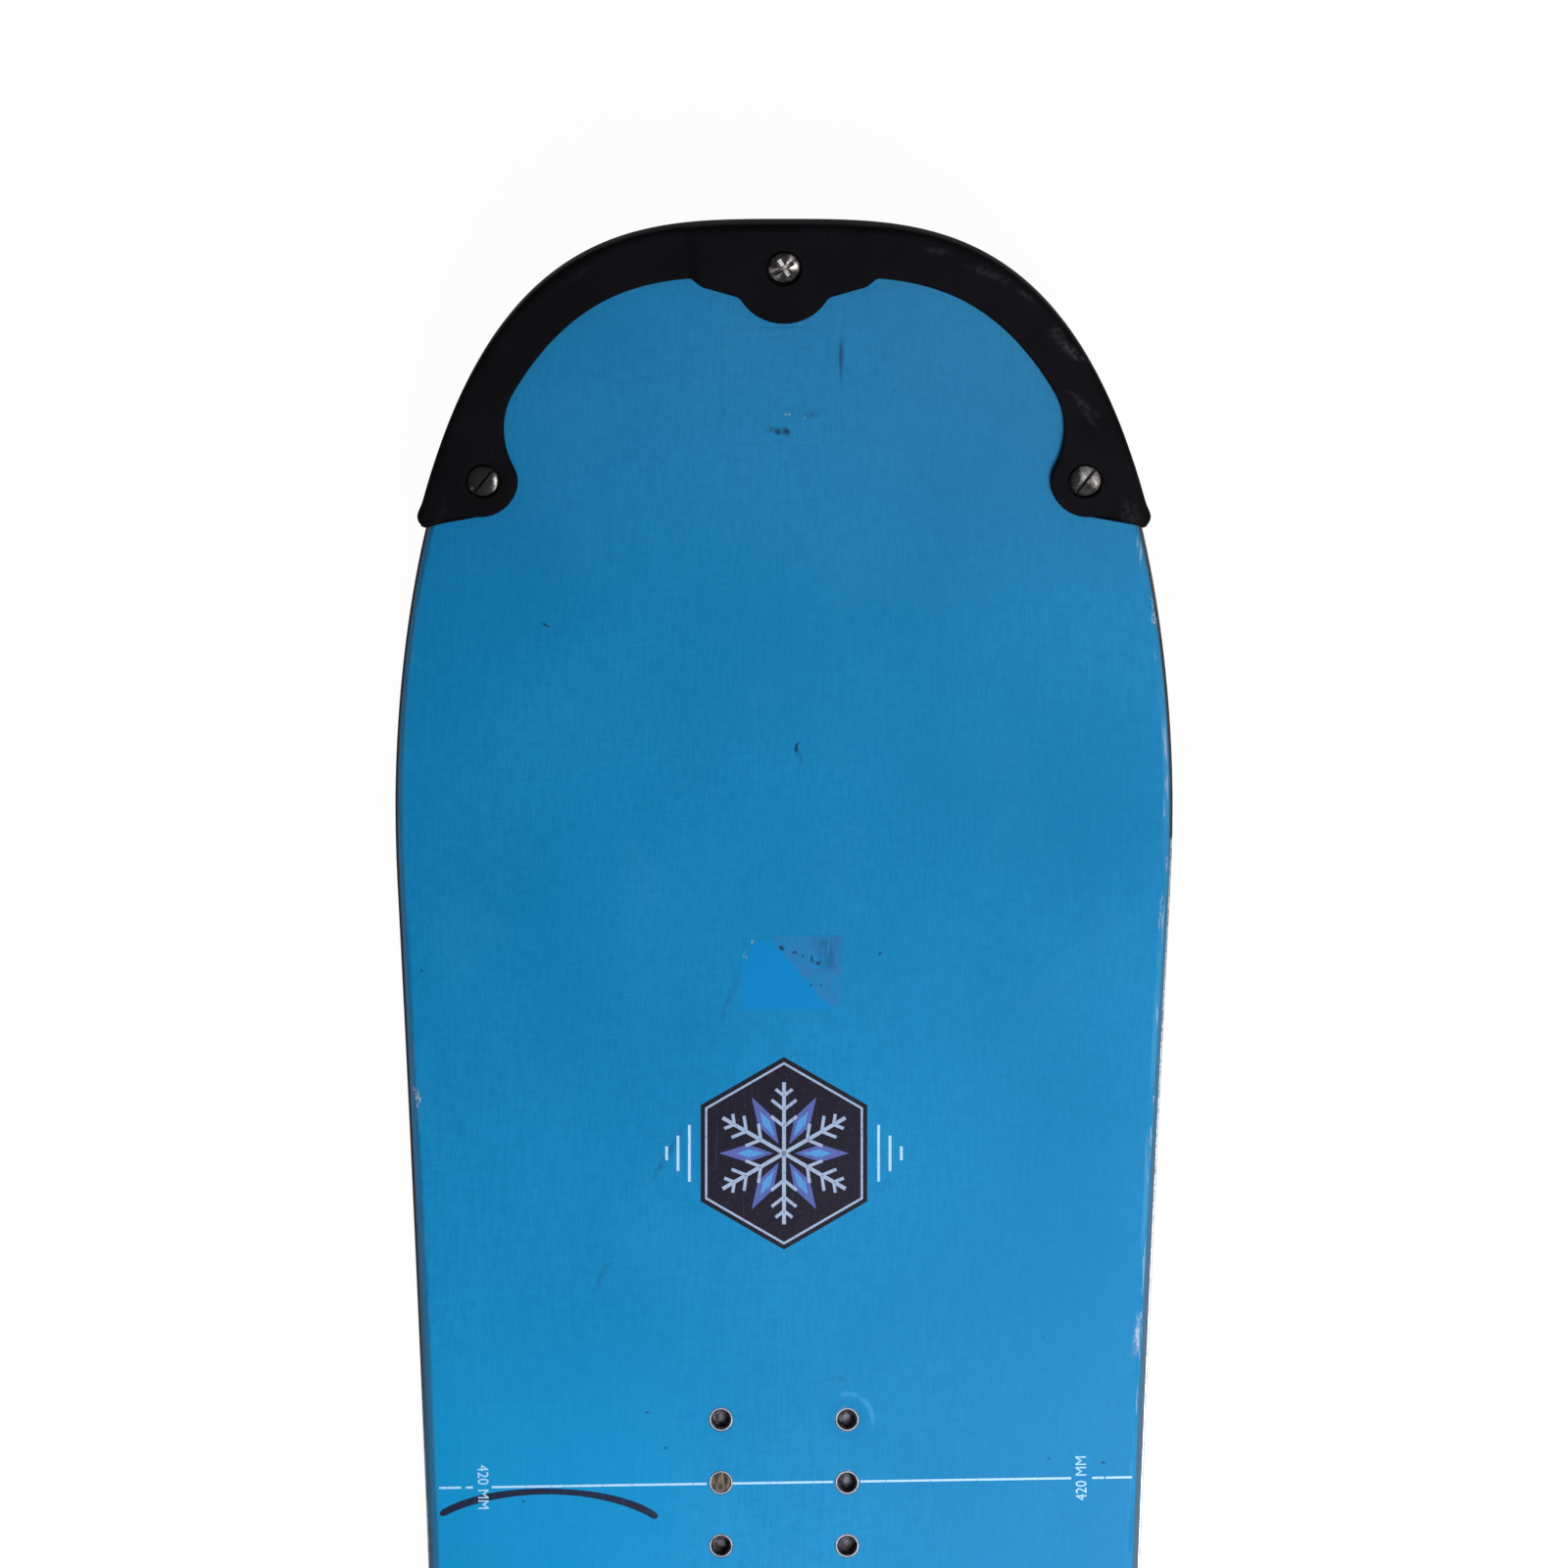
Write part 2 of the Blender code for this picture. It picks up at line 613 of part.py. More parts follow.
def edge_rubber(name, side, finish):
    outside = cap_inset(UNDER_TOPSHEET, RIM_RUBBER + RUBBER_THICKNESS)
    profile = [
        (outside, RIM_RUBBER),
        (TEETH_INSET, RIM_RUBBER),
        (TEETH_INSET, RIM_RUBBER + RUBBER_THICKNESS),
        (outside, RIM_RUBBER + RUBBER_THICKNESS),
    ]
    return swept(name, edge_sections(tip_range(), profile, side), finish)


def base_sheet(finish):
    inset = EDGE_WIDTH + BOND_GAP
    return sheet("base_sheet", [(inset, 0.0), (inset, BASE_THICKNESS)], finish)


def lower_glass(finish):
    """Flat on the base, with a rim that steps up over the teeth and the rubber."""
    outside = cap_inset(UNDER_TOPSHEET, RIM_GLASS + GLASS_THICKNESS)
    top_ramp = RAMP_INSET + RIM_STEP
    profile = [
        (RAMP_INSET + RIM_RAMP, LOW_GLASS),
        (RAMP_INSET, RIM_GLASS),
        (outside, RIM_GLASS),
        (outside, RIM_GLASS + GLASS_THICKNESS),
        (top_ramp, RIM_GLASS + GLASS_THICKNESS),
        (top_ramp + RIM_RAMP, LOW_GLASS + GLASS_THICKNESS),
    ]
    return sheet("lower_glass", profile, finish)


def upper_glass(finish):
    height = top_height(STATIONS[1])
    under = cap_profile(UNDER_GLASS, RIM_CORE, height, rounded=False)
    over = cap_profile(UNDER_TOPSHEET, RIM_CORE, height, rounded=False)
    return sheet("upper_glass", under[::-1] + over, finish)


def topsheet(finish):
    height = top_height(STATIONS[1])
    under = cap_profile(TOPSHEET_THICKNESS, RIM_RUBBER, height)
    over = cap_profile(0.0, RIM_RUBBER, height)
    return sheet("topsheet", under[::-1] + over, finish)


def stringer(name, inner, outer, side, finish):
    """One plank of the core between two x lines, or out to the edge rail where outer is None."""
    x, u, _, _ = stations_between(-CONTACT + BOND_GAP / 2, CONTACT - BOND_GAP / 2)
    rail = x - rail_inset() - BOND_GAP / 2
    far = rail if outer is None else np.full_like(u, outer - BOND_GAP / 2)
    near = np.full_like(u, inner + BOND_GAP / 2)
    top = LOW_CORE + core_thickness(u)
    low = np.full_like(u, LOW_CORE)
    corners = [(near, low), (far, low), (far, top), (near, top)]
    sections = np.stack([np.stack([side * cx, u, ch], axis=-1) for cx, ch in corners], axis=1)
    return swept(name, sections, finish)


def rail_inset():
    """Inset of the joint between the outermost plank and the edge rail."""
    return RAISED_INSET + EDGE_RAIL_WIDTH


def core(finishes, tool):
    """Planks side by side, numbered from left to right, with a hard rail along each edge."""
    joints = (np.arange(PLANK_COUNT_EACH_SIDE) + 0.5) * STRINGER_WIDTH
    middle = PLANK_COUNT_EACH_SIDE + 1
    column = INSERT_COLUMN_SPACING / 2
    bite = INSERT_FLANGE_RADIUS + BOND_GAP
    planks = list(zip(joints, [*joints[1:], None]))
    for number, (inner, outer) in enumerate(planks):
        finish = finishes["stringer_dark" if number % 2 == 0 else "stringer_pale"]
        reach = outer if outer is not None else WAIST_WIDTH / 2
        for side in (-1, 1):
            made = stringer(f"core_stringer_{middle + side * (number + 1)}", inner, outer, side, finish)
            if inner < column + bite and reach > column - bite:
                cut(made, tool)
    made = stringer(f"core_stringer_{middle}", -joints[0], joints[0], 1, finishes["stringer_pale"])
    if joints[0] > column - bite:
        cut(made, tool)


def edge_rail(name, side, finish):
    half = EDGE_RAIL_LENGTH / 2
    stations = stations_between(-half, half)
    height = top_height(stations[1])
    inside = rail_inset() - BOND_GAP / 2
    profile = [
        (inside, LOW_CORE),
        (RAISED_INSET + RIM_RAMP, LOW_CORE),
        (RAISED_INSET, RIM_CORE),
        *cap_profile(OVER_CORE, RIM_CORE, height, rounded=False),
        (inside, height - OVER_CORE),
    ]
    return swept(name, edge_sections(stations, profile, side), finish)


def tip_spacer(name, end, finish, tool):
    """Plastic plate that takes the core's place in a tip."""
    line = STATIONS[:, STATIONS[1] > CONTACT - SAME_STATION][:, :-1]
    px, pu = inset_line(line, SPACER_INSET)
    pu[0] = CONTACT + BOND_GAP / 2
    low = np.full_like(pu, LOW_CORE)
    high = low + CORE_TIP_THICKNESS
    corners = [(px, low), (px, high), (-px, high), (-px, low)]
    sections = np.stack([np.stack([cx, end * pu, ch], axis=-1) for cx, ch in corners], axis=1)
    made = swept(name, sections, finish)
    cut(made, tool)
    return made


def inserts(finish):
    """Flanged barrels with a blind bore, set in the core and flush with the topsheet."""
    flange_top = LOW_CORE + INSERT_FLANGE_THICKNESS
    top = MIDDLE_HEIGHT - INSERT_SETBACK
    profile = [
        (0, LOW_CORE),
        (INSERT_FLANGE_RADIUS, LOW_CORE),
        (INSERT_FLANGE_RADIUS, flange_top),
        (INSERT_BARREL_RADIUS, flange_top),
        (INSERT_BARREL_RADIUS, top),
        (INSERT_BORE_RADIUS, top),
        (INSERT_BORE_RADIUS, LOW_CORE + INSERT_FLOOR),
        (0, LOW_CORE + INSERT_FLOOR),
    ]
    for foot, places in insert_places().items():
        for number, (x, u) in enumerate(places, start=1):
            turned(f"{foot}_insert_{number}", profile, frame_at(x, u), finish)


def insert_cutter():
    frames = [frame_at(x, u) for places in insert_places().values() for x, u in places]
    flange = INSERT_FLANGE_RADIUS + BOND_GAP
    barrel = INSERT_BARREL_RADIUS + BOND_GAP
    flange_top = LOW_CORE + INSERT_FLANGE_THICKNESS + BOND_GAP
    profile = [
        (0, LOW_CORE - BOND_GAP / 2),
        (flange, LOW_CORE - BOND_GAP / 2),
        (flange, flange_top),
        (barrel, flange_top),
        (barrel, 2 * MIDDLE_HEIGHT),
        (0, 2 * MIDDLE_HEIGHT),
    ]
    return cutter("insert_hole_tool", profile, frames)


def all_screw_frames():
    places = [place for end in (1, -1) for place in screw_places(end).values()]
    return [frame_at(x, u) for x, u, _ in places]


def nut_cutter():
    """Stepped hole for the sleeve nuts, through the base and every layer up to the topsheet."""
    head = NUT_HEAD_RADIUS + BOND_GAP
    barrel = NUT_BARREL_RADIUS + BOND_GAP
    profile = [
        (0, -BASE_THICKNESS),
        (head, -BASE_THICKNESS),
        (head, BASE_THICKNESS + BOND_GAP / 2),
        (barrel, BASE_THICKNESS + BOND_GAP / 2),
        (barrel, TIP_HEIGHT + BOND_GAP / 2),
        (0, TIP_HEIGHT + BOND_GAP / 2),
    ]
    return cutter("nut_hole_tool", profile, all_screw_frames())


def guard_cutter():
    """Counterbored screw holes through the guard's flange."""
    shank = SCREW_SHANK_RADIUS + BOND_GAP
    bore = SCREW_HEAD_RADIUS + COUNTERBORE_CLEARANCE
    floor = TIP_HEIGHT + BOND_GAP + COUNTERBORE_FLOOR
    profile = [
        (0, TIP_HEIGHT - BOND_GAP),
        (shank, TIP_HEIGHT - BOND_GAP),
        (shank, floor),
        (bore, floor),
        (bore, 3 * TIP_HEIGHT),
        (0, 3 * TIP_HEIGHT),
    ]
    return cutter("guard_hole_tool", profile, all_screw_frames())


def driver_recess(name, frame, turn, arms):
    """Hidden tool for a slot, or for two crossed slots, across a screw's head."""
    head_top = TIP_HEIGHT + 2 * BOND_GAP + COUNTERBORE_FLOOR + SCREW_HEAD_SIDE + SCREW_HEAD_DOME
    half = SCREW_SLOT_WIDTH / 2
    if arms == 1:
        span = 2 * SCREW_HEAD_RADIUS
        outline = [(-span, half), (span, half), (span, -half), (-span, -half)]
    else:
        span = SCREW_CROSS_SPAN / 2
        arm = [complex(half, half), complex(span, half), complex(span, -half)]
        turned_arms = [corner * (-1j) ** quarter for quarter in range(4) for corner in arm]
        outline = [(corner.real, corner.imag) for corner in turned_arms]
    builder = bmesh.new()
    low, high = head_top - SCREW_SLOT_DEPTH, head_top + SCREW_HEAD_RADIUS
    local = frame @ Matrix.Rotation(turn, 4, "Z")
    loops = [[builder.verts.new(local @ Vector((x, y, h))) for x, y in outline] for h in (low, high)]
    join_loops(builder, loops[0], loops[1])
    builder.faces.new(loops[0])
    builder.faces.new(loops[1])
    return as_tool(object_from(name, builder, None))


def guard_fasteners(tip, end, finishes):
    """Screws from above and sleeve nuts from below, at the three places of one guard."""
    seat = TIP_HEIGHT + 2 * BOND_GAP + COUNTERBORE_FLOOR
    side = seat + SCREW_HEAD_SIDE
    shank_end = NUT_BASE_SETBACK + NUT_FLOOR + 2 * BOND_GAP
    screw_profile = [
        (0, shank_end),
        (SCREW_SHANK_RADIUS, shank_end),
        (SCREW_SHANK_RADIUS, seat),
        (SCREW_HEAD_RADIUS, seat),
        (SCREW_HEAD_RADIUS, side),
        (SCREW_CROWN_RADIUS, side + SCREW_CROWN_RISE),
        (0, side + SCREW_HEAD_DOME),
    ]
    bore = SCREW_SHANK_RADIUS + BOND_GAP
    nut_profile = [
        (0, NUT_BASE_SETBACK),
        (NUT_HEAD_RADIUS, NUT_BASE_SETBACK),
        (NUT_HEAD_RADIUS, BASE_THICKNESS),
        (NUT_BARREL_RADIUS, BASE_THICKNESS),
        (NUT_BARREL_RADIUS, TIP_HEIGHT),
        (bore, TIP_HEIGHT),
        (bore, NUT_BASE_SETBACK + NUT_FLOOR),
        (0, NUT_BASE_SETBACK + NUT_FLOOR),
    ]
    for place, (x, u, turn) in screw_places(end).items():
        frame = frame_at(x, u)
        screw = turned(f"{tip}_guard_screw_{place}", screw_profile, frame, finishes["screw"])
        arms = 2 if place == "centre" else 1
        cut(screw, driver_recess(f"{tip}_{place}_recess_tool", frame, turn, arms))
        turned(f"{tip}_guard_nut_{place}", nut_profile, frame, finishes["nut"])


def build():
    for old in list(bpy.data.objects):
        bpy.data.objects.remove(old, do_unlink=True)
    finishes = make_materials()
    insert_tool, nut_tool, guard_tool = insert_cutter(), nut_cutter(), guard_cutter()
    cut(base_sheet(finishes["base"]), nut_tool)
    cut(lower_glass(finishes["glass"]), nut_tool)
    for made in (upper_glass(finishes["glass"]), topsheet(finishes["topsheet"])):
        cut(made, insert_tool)
        cut(made, nut_tool)
    for name, side in (("left", -1), ("right", 1)):
        steel_edge(f"steel_edge_{name}", side, finishes["steel"])
        edge_rubber(f"edge_rubber_{name}", side, finishes["bond_rubber"])
        edge_rail(f"edge_rail_{name}", side, finishes["rail"])
    core(finishes, insert_tool)
    inserts(finishes["insert"])
    for tip, end in (("nose", 1), ("tail", -1)):
        tip_spacer(f"{tip}_spacer", end, finishes["spacer"], nut_tool)
        guard(f"{tip}_guard", end, finishes["guard"], guard_tool)
        guard_fasteners(tip, end, finishes)


build()
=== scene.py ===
# %% [markdown]
# # A junior snowboard with moulded tip guards
# A snowboard is a sandwich of thin layers round a wood core, pressed in one mould. The CAD frame holds
# each layer as its own solid with few facets. This lesson dresses that frame: what the eye reaches gets
# a finely worked surface, and what lies inside keeps its CAD mesh and gets a finish.

# %% Load the frame
import math

import bmesh
import bpy
import numpy as np
from mathutils import Matrix, Vector


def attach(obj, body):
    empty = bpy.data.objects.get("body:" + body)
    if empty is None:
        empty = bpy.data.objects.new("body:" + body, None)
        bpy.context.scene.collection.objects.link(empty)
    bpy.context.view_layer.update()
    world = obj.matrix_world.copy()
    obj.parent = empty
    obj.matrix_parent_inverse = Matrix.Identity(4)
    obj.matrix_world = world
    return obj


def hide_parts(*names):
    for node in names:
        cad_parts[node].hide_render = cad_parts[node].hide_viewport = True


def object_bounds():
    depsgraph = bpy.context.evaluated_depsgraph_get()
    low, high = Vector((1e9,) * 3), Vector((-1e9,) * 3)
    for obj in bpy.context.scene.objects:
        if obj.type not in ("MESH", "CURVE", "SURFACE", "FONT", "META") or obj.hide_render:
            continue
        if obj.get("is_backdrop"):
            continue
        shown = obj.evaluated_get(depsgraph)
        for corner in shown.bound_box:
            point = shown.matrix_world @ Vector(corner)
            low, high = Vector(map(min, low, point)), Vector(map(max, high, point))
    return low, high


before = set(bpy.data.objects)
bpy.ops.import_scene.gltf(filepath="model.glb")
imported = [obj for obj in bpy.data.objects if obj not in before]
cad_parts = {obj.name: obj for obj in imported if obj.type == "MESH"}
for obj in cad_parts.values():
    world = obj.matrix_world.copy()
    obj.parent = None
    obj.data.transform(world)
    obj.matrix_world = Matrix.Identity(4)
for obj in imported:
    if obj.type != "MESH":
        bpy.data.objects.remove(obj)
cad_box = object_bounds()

print("CAD nodes in the frame:", len(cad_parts))

# %% [markdown]
# ## Flat board, bent tips
# The layers are cut flat, and the press bends them up at both ends. The same two steps make the shapes
# here. A point is placed on the flat board, as x across, u along and h above the base, and one function
# rolls it up round the tip bend, so that all pieces laid out this way stay in register.

# %% Bend the flat board
CONTACT, BEND_RADIUS, NOSE_END = 0.425, 0.424, 0.609


def bend(x, u, h):
    """Flat point to space: past the contact point, u runs on an arc about an axis BEND_RADIUS above
    the base, and h is the distance inwards from that arc."""
    turn = np.maximum(np.abs(u) - CONTACT, 0) / BEND_RADIUS
    flat = np.minimum(np.abs(u), CONTACT)
    y = np.sign(u) * (flat + (BEND_RADIUS - h) * np.sin(turn))
    z = BEND_RADIUS - (BEND_RADIUS - h) * np.cos(turn)
    return np.stack(np.broadcast_arrays(x, y, z), axis=-1)


def bent_frame(x, u):
    """Matrix of the place (x, u) on the base, with Z out of the base and Y along the board."""
    turn = math.copysign(max(abs(u) - CONTACT, 0) / BEND_RADIUS, u)
    return Matrix.Translation(bend(x, u, 0).tolist()) @ Matrix.Rotation(turn, 4, "X")


print("the nose rises by %.1f mm" % (1000 * float(bend(0, NOSE_END, 0)[2])))

# %% [markdown]
# ## The outline
# Seen from above, a board is narrow at the waist, so that it turns on its edge, and round at the tips.
# The waist is an arc that goes over into a flatter one, and each tip is a superellipse, which is squarer
# at its sides than a plain ellipse.

# %% Outline of the right-hand edge
HALF_WAIST, FULL_CORE = 0.1099, 0.255
INNER_ARC_END, INNER_ARC_RADIUS = 0.205, 5.13
OUTER_ARC_END, OUTER_ARC_RADIUS = 0.4, 15.3
TIP_LENGTH, SIDE_POWER, END_POWER = 0.1852, 3.2, 1.9
TIP_ROWS, MIDDLE_STEP, TURN_WORTH, NUDGE = 120, 0.0085, 0.1, 1e-5


def half_width(u):
    """Half the waist, plus u^2 / 2R on the inner arc, plus slope and u^2 / 2R on the outer arc, and
    a quarter wave that brings the slope to nothing at the widest point."""
    inner = np.clip(u, 0, INNER_ARC_END)
    outer = np.clip(u - INNER_ARC_END, 0, OUTER_ARC_END - INNER_ARC_END)
    ease = np.clip(u - OUTER_ARC_END, 0, CONTACT - OUTER_ARC_END)
    slope = INNER_ARC_END / INNER_ARC_RADIUS
    end_slope = slope + (OUTER_ARC_END - INNER_ARC_END) / OUTER_ARC_RADIUS
    half = HALF_WAIST + inner**2 / (2 * INNER_ARC_RADIUS)
    half = half + slope * outer + outer**2 / (2 * OUTER_ARC_RADIUS)
    return half + end_slope * ease - end_slope * ease**2 / (2 * (CONTACT - OUTER_ARC_END))


def run_of(x, y):
    """Running length along a path, or along each row of paths: nothing, then the sum of the steps."""
    steps = np.cumsum(np.hypot(np.diff(x), np.diff(y)), axis=-1)
    return np.concatenate([0 * steps[..., :1], steps], axis=-1)


def normals_of(x, u):
    """Outward unit normals of the right-hand edge, a quarter turn from its steps."""
    step_x, step_u = np.gradient(x), np.gradient(u)
    length = np.hypot(step_x, step_u)
    normal_x, normal_u = step_u / length, -step_x / length
    normal_x[-1], normal_u[-1] = 0, 1
    return normal_x, normal_u


def nose_edge(steps=1200):
    """x, u, normals and run of the nose's edge: x = A cos(t)^(2/p), u = C + L sin(t)^(2/q), spaced
    evenly by length."""
    t = np.linspace(0, np.pi / 2, steps)
    x = half_width(CONTACT) * np.maximum(np.cos(t), 0) ** (2 / SIDE_POWER)
    u = CONTACT + TIP_LENGTH * np.sin(t) ** (2 / END_POWER)
    x[-1] = 0
    run = run_of(x, u)
    even = np.linspace(0, run[-1], steps)
    x, u = np.interp(even, run, x), np.interp(even, run, u)
    return np.stack([x, u, *normals_of(x, u), even])


NOSE = nose_edge()


def whole_edge():
    """x, u and normals of the right-hand edge from the tail's end to the nose's end. Rows in the tips
    are closer where the edge turns faster: a turn of one radian counts as a length of TURN_WORTH."""
    u = np.unique(np.concatenate([np.arange(0, CONTACT, MIDDLE_STEP), [FULL_CORE]]))
    x = half_width(u)
    slope = (half_width(u + NUDGE) - x) / NUDGE
    middle = np.stack([x, u, 1 / np.hypot(1, slope), -slope / np.hypot(1, slope)])
    turning = np.abs(np.diff(np.arctan2(NOSE[3], NOSE[2])))
    effort = np.concatenate([[0], np.cumsum(np.diff(NOSE[4]) + TURN_WORTH * turning)])
    rows = np.round(np.interp(np.linspace(0, effort[-1], TIP_ROWS), effort, np.arange(effort.size)))
    nose = np.concatenate([middle, NOSE[:4, rows.astype(int)]], axis=1)
    tail = nose[:, :0:-1] * np.array([[1], [-1], [1], [-1]])
    return np.concatenate([tail, nose], axis=1)


EDGE = whole_edge()
print("outline rows:", EDGE.shape[1], "widest: %.1f mm" % (2000 * EDGE[0].max()))

# %% [markdown]
# ## From arrays to pieces
# Each surface is a grid of points, worked out as one array. A loft joins its rows with quads, and a flat
# cap may close each end. The finished mesh is merged at its seams and turned outwards, and its place is
# in its points, as in the CAD nodes.

# %% Grids and solids of revolution
HOLE_SEGMENTS = 40


def loft(grid, ends=False, closed=True):
    """Faces of grid[row, column]: quads between neighbouring rows, round the section if it is
    closed, and one flat face over each end row if asked."""
    rows, columns = grid.shape[:2]
    index = np.arange(rows * columns).reshape(rows, columns)
    here = index if closed else index[:, :-1]
    after = np.roll(index, -1, axis=1)[:, : here.shape[1]]
    quads = np.stack([here[:-1], here[1:], after[1:], after[:-1]], axis=-1).reshape(-1, 4)
    return grid.reshape(-1, 3), quads.tolist() + ([index[0].tolist(), index[-1].tolist()] if ends else [])


def gather(parts):
    """Several (points, faces) pairs as one, with the face numbers moved on."""
    starts = np.cumsum([0] + [len(points) for points, _ in parts])
    faces = [[corner + int(start) for corner in face] for (_, fs), start in zip(parts, starts) for face in fs]
    return np.concatenate([points for points, _ in parts]), faces


def around(radius, angle, height):
    """Points round an axis: (r cos a, r sin a, height)."""
    return np.stack(np.broadcast_arrays(radius * np.cos(angle), radius * np.sin(angle), height), axis=-1)


def moved(points, place):
    """Points carried by a matrix: p R^T + t."""
    matrix = np.array(place)
    return points @ matrix[:3, :3].T + matrix[:3, 3]


def turned(profile, place, segments=48):
    """Solid of revolution: each (radius, height) of the profile goes round the axis of its place."""
    radius, height = np.array(profile, float).T
    grid = around(radius, np.arange(segments)[:, None] * 2 * np.pi / segments, height)
    return loft(moved(np.concatenate([grid, grid[:1]]), place), closed=False)


print("loft, gather and turned are ready")

# %% Pieces and holes
def tidy(mesh, sharp):
    """Merge doubles, turn the faces outwards, and shade smooth but for edges sharper than this."""
    shape = bmesh.new()
    shape.from_mesh(mesh)
    bmesh.ops.remove_doubles(shape, verts=shape.verts, dist=1e-6)
    bmesh.ops.recalc_face_normals(shape, faces=shape.faces)
    shape.to_mesh(mesh)
    shape.free()
    mesh.shade_smooth()
    mesh.set_sharp_from_angle(angle=math.radians(sharp))


def stand(name, data):
    """Put a mesh, lamp or camera into the scene as an object."""
    thing = bpy.data.objects.new(name, data)
    bpy.context.scene.collection.objects.link(thing)
    return thing


def new_mesh(name, points, faces):
    mesh = bpy.data.meshes.new(name)
    mesh.from_pydata(points.tolist(), [], faces)
    return mesh


def make_piece(name, shape, finish, stands_for=(), sharp=40, marks=None):
    """One piece of the board from (points, faces); marks are named values at its points."""
    mesh = new_mesh(name, *shape)
    for mark, values in (marks or {}).items():
        mesh.attributes.new(mark, "FLOAT", "POINT").data.foreach_set("value", np.ravel(values))
    tidy(mesh, sharp)
    mesh.materials.append(finish.material)
    piece = stand(name, mesh)
    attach(piece, "root")
    if stands_for:
        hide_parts(*stands_for)
    return piece


def drill(piece, tools, sharp=40):
    """Cut closed tools out of a piece, and keep the result as its mesh."""
    mesh = new_mesh("tool", *gather(tools))
    tidy(mesh, sharp)
    tool = stand("tool", mesh)
    cut = piece.modifiers.new("holes", "BOOLEAN")
    cut.operation, cut.solver, cut.object = "DIFFERENCE", "EXACT", tool
    graph = bpy.context.evaluated_depsgraph_get()
    result = bpy.data.meshes.new_from_object(piece.evaluated_get(graph))
    piece.modifiers.clear()
    piece.data = result
    result.shade_smooth()
    result.set_sharp_from_angle(angle=math.radians(sharp))
    bpy.data.objects.remove(tool)


print("make_piece and drill are ready")

# %% [markdown]
# ## Shader sums as Python sums
# A finish varies over the surface by sums of noises and masks. Math nodes do them, but a chain of nodes
# is hard to read. A small class wraps a socket, so that an expression such as `1 - wear * 0.4` adds the
# nodes by itself, and one method adds any other node. A finish keeps its colour so far, and each tint
# lays one more colour over it through a mask.

# %% Wires


class Wire:
    """An output socket. Arithmetic with other wires or numbers adds Math nodes."""

    def __init__(self, finish, socket):
        self.finish, self.socket = finish, socket

    def math(self, operation, *values):
        return self.finish.add("ShaderNodeMath", {"operation": operation}, values)

    def __add__(self, other):
        return self.math("ADD", self, other)

    def __sub__(self, other):
        return self.math("SUBTRACT", self, other)

    def __rsub__(self, other):
        return self.math("SUBTRACT", other, self)

    def __mul__(self, other):
        return self.math("MULTIPLY", self, other)

    __radd__, __rmul__ = __add__, __mul__

    def __abs__(self):
        return self.math("ABSOLUTE", self)

    def most(self, other):
        return self.math("MAXIMUM", self, other)

    def least(self, other):
        return self.math("MINIMUM", self, other)

    def ramp(self, low, high):
        """0 below low and 1 above high with a soft step between; high may be the smaller."""
        inputs = {"Value": self, "From Min": low, "From Max": high}
        return self.finish.add("ShaderNodeMapRange", {"interpolation_type": "SMOOTHSTEP"}, inputs)


print("wires can be added, subtracted, multiplied and ramped")

# %% Finishes
def shade(colour):
    """A colour as seen, three numbers of 0 to 255, as the linear colour that a shader takes."""
    if isinstance(colour, Wire) or len(colour) == 4:
        return colour
    seen = np.array(colour) / 255
    return (*np.where(seen <= 0.04045, seen / 12.92, ((seen + 0.055) / 1.055) ** 2.4).tolist(), 1)


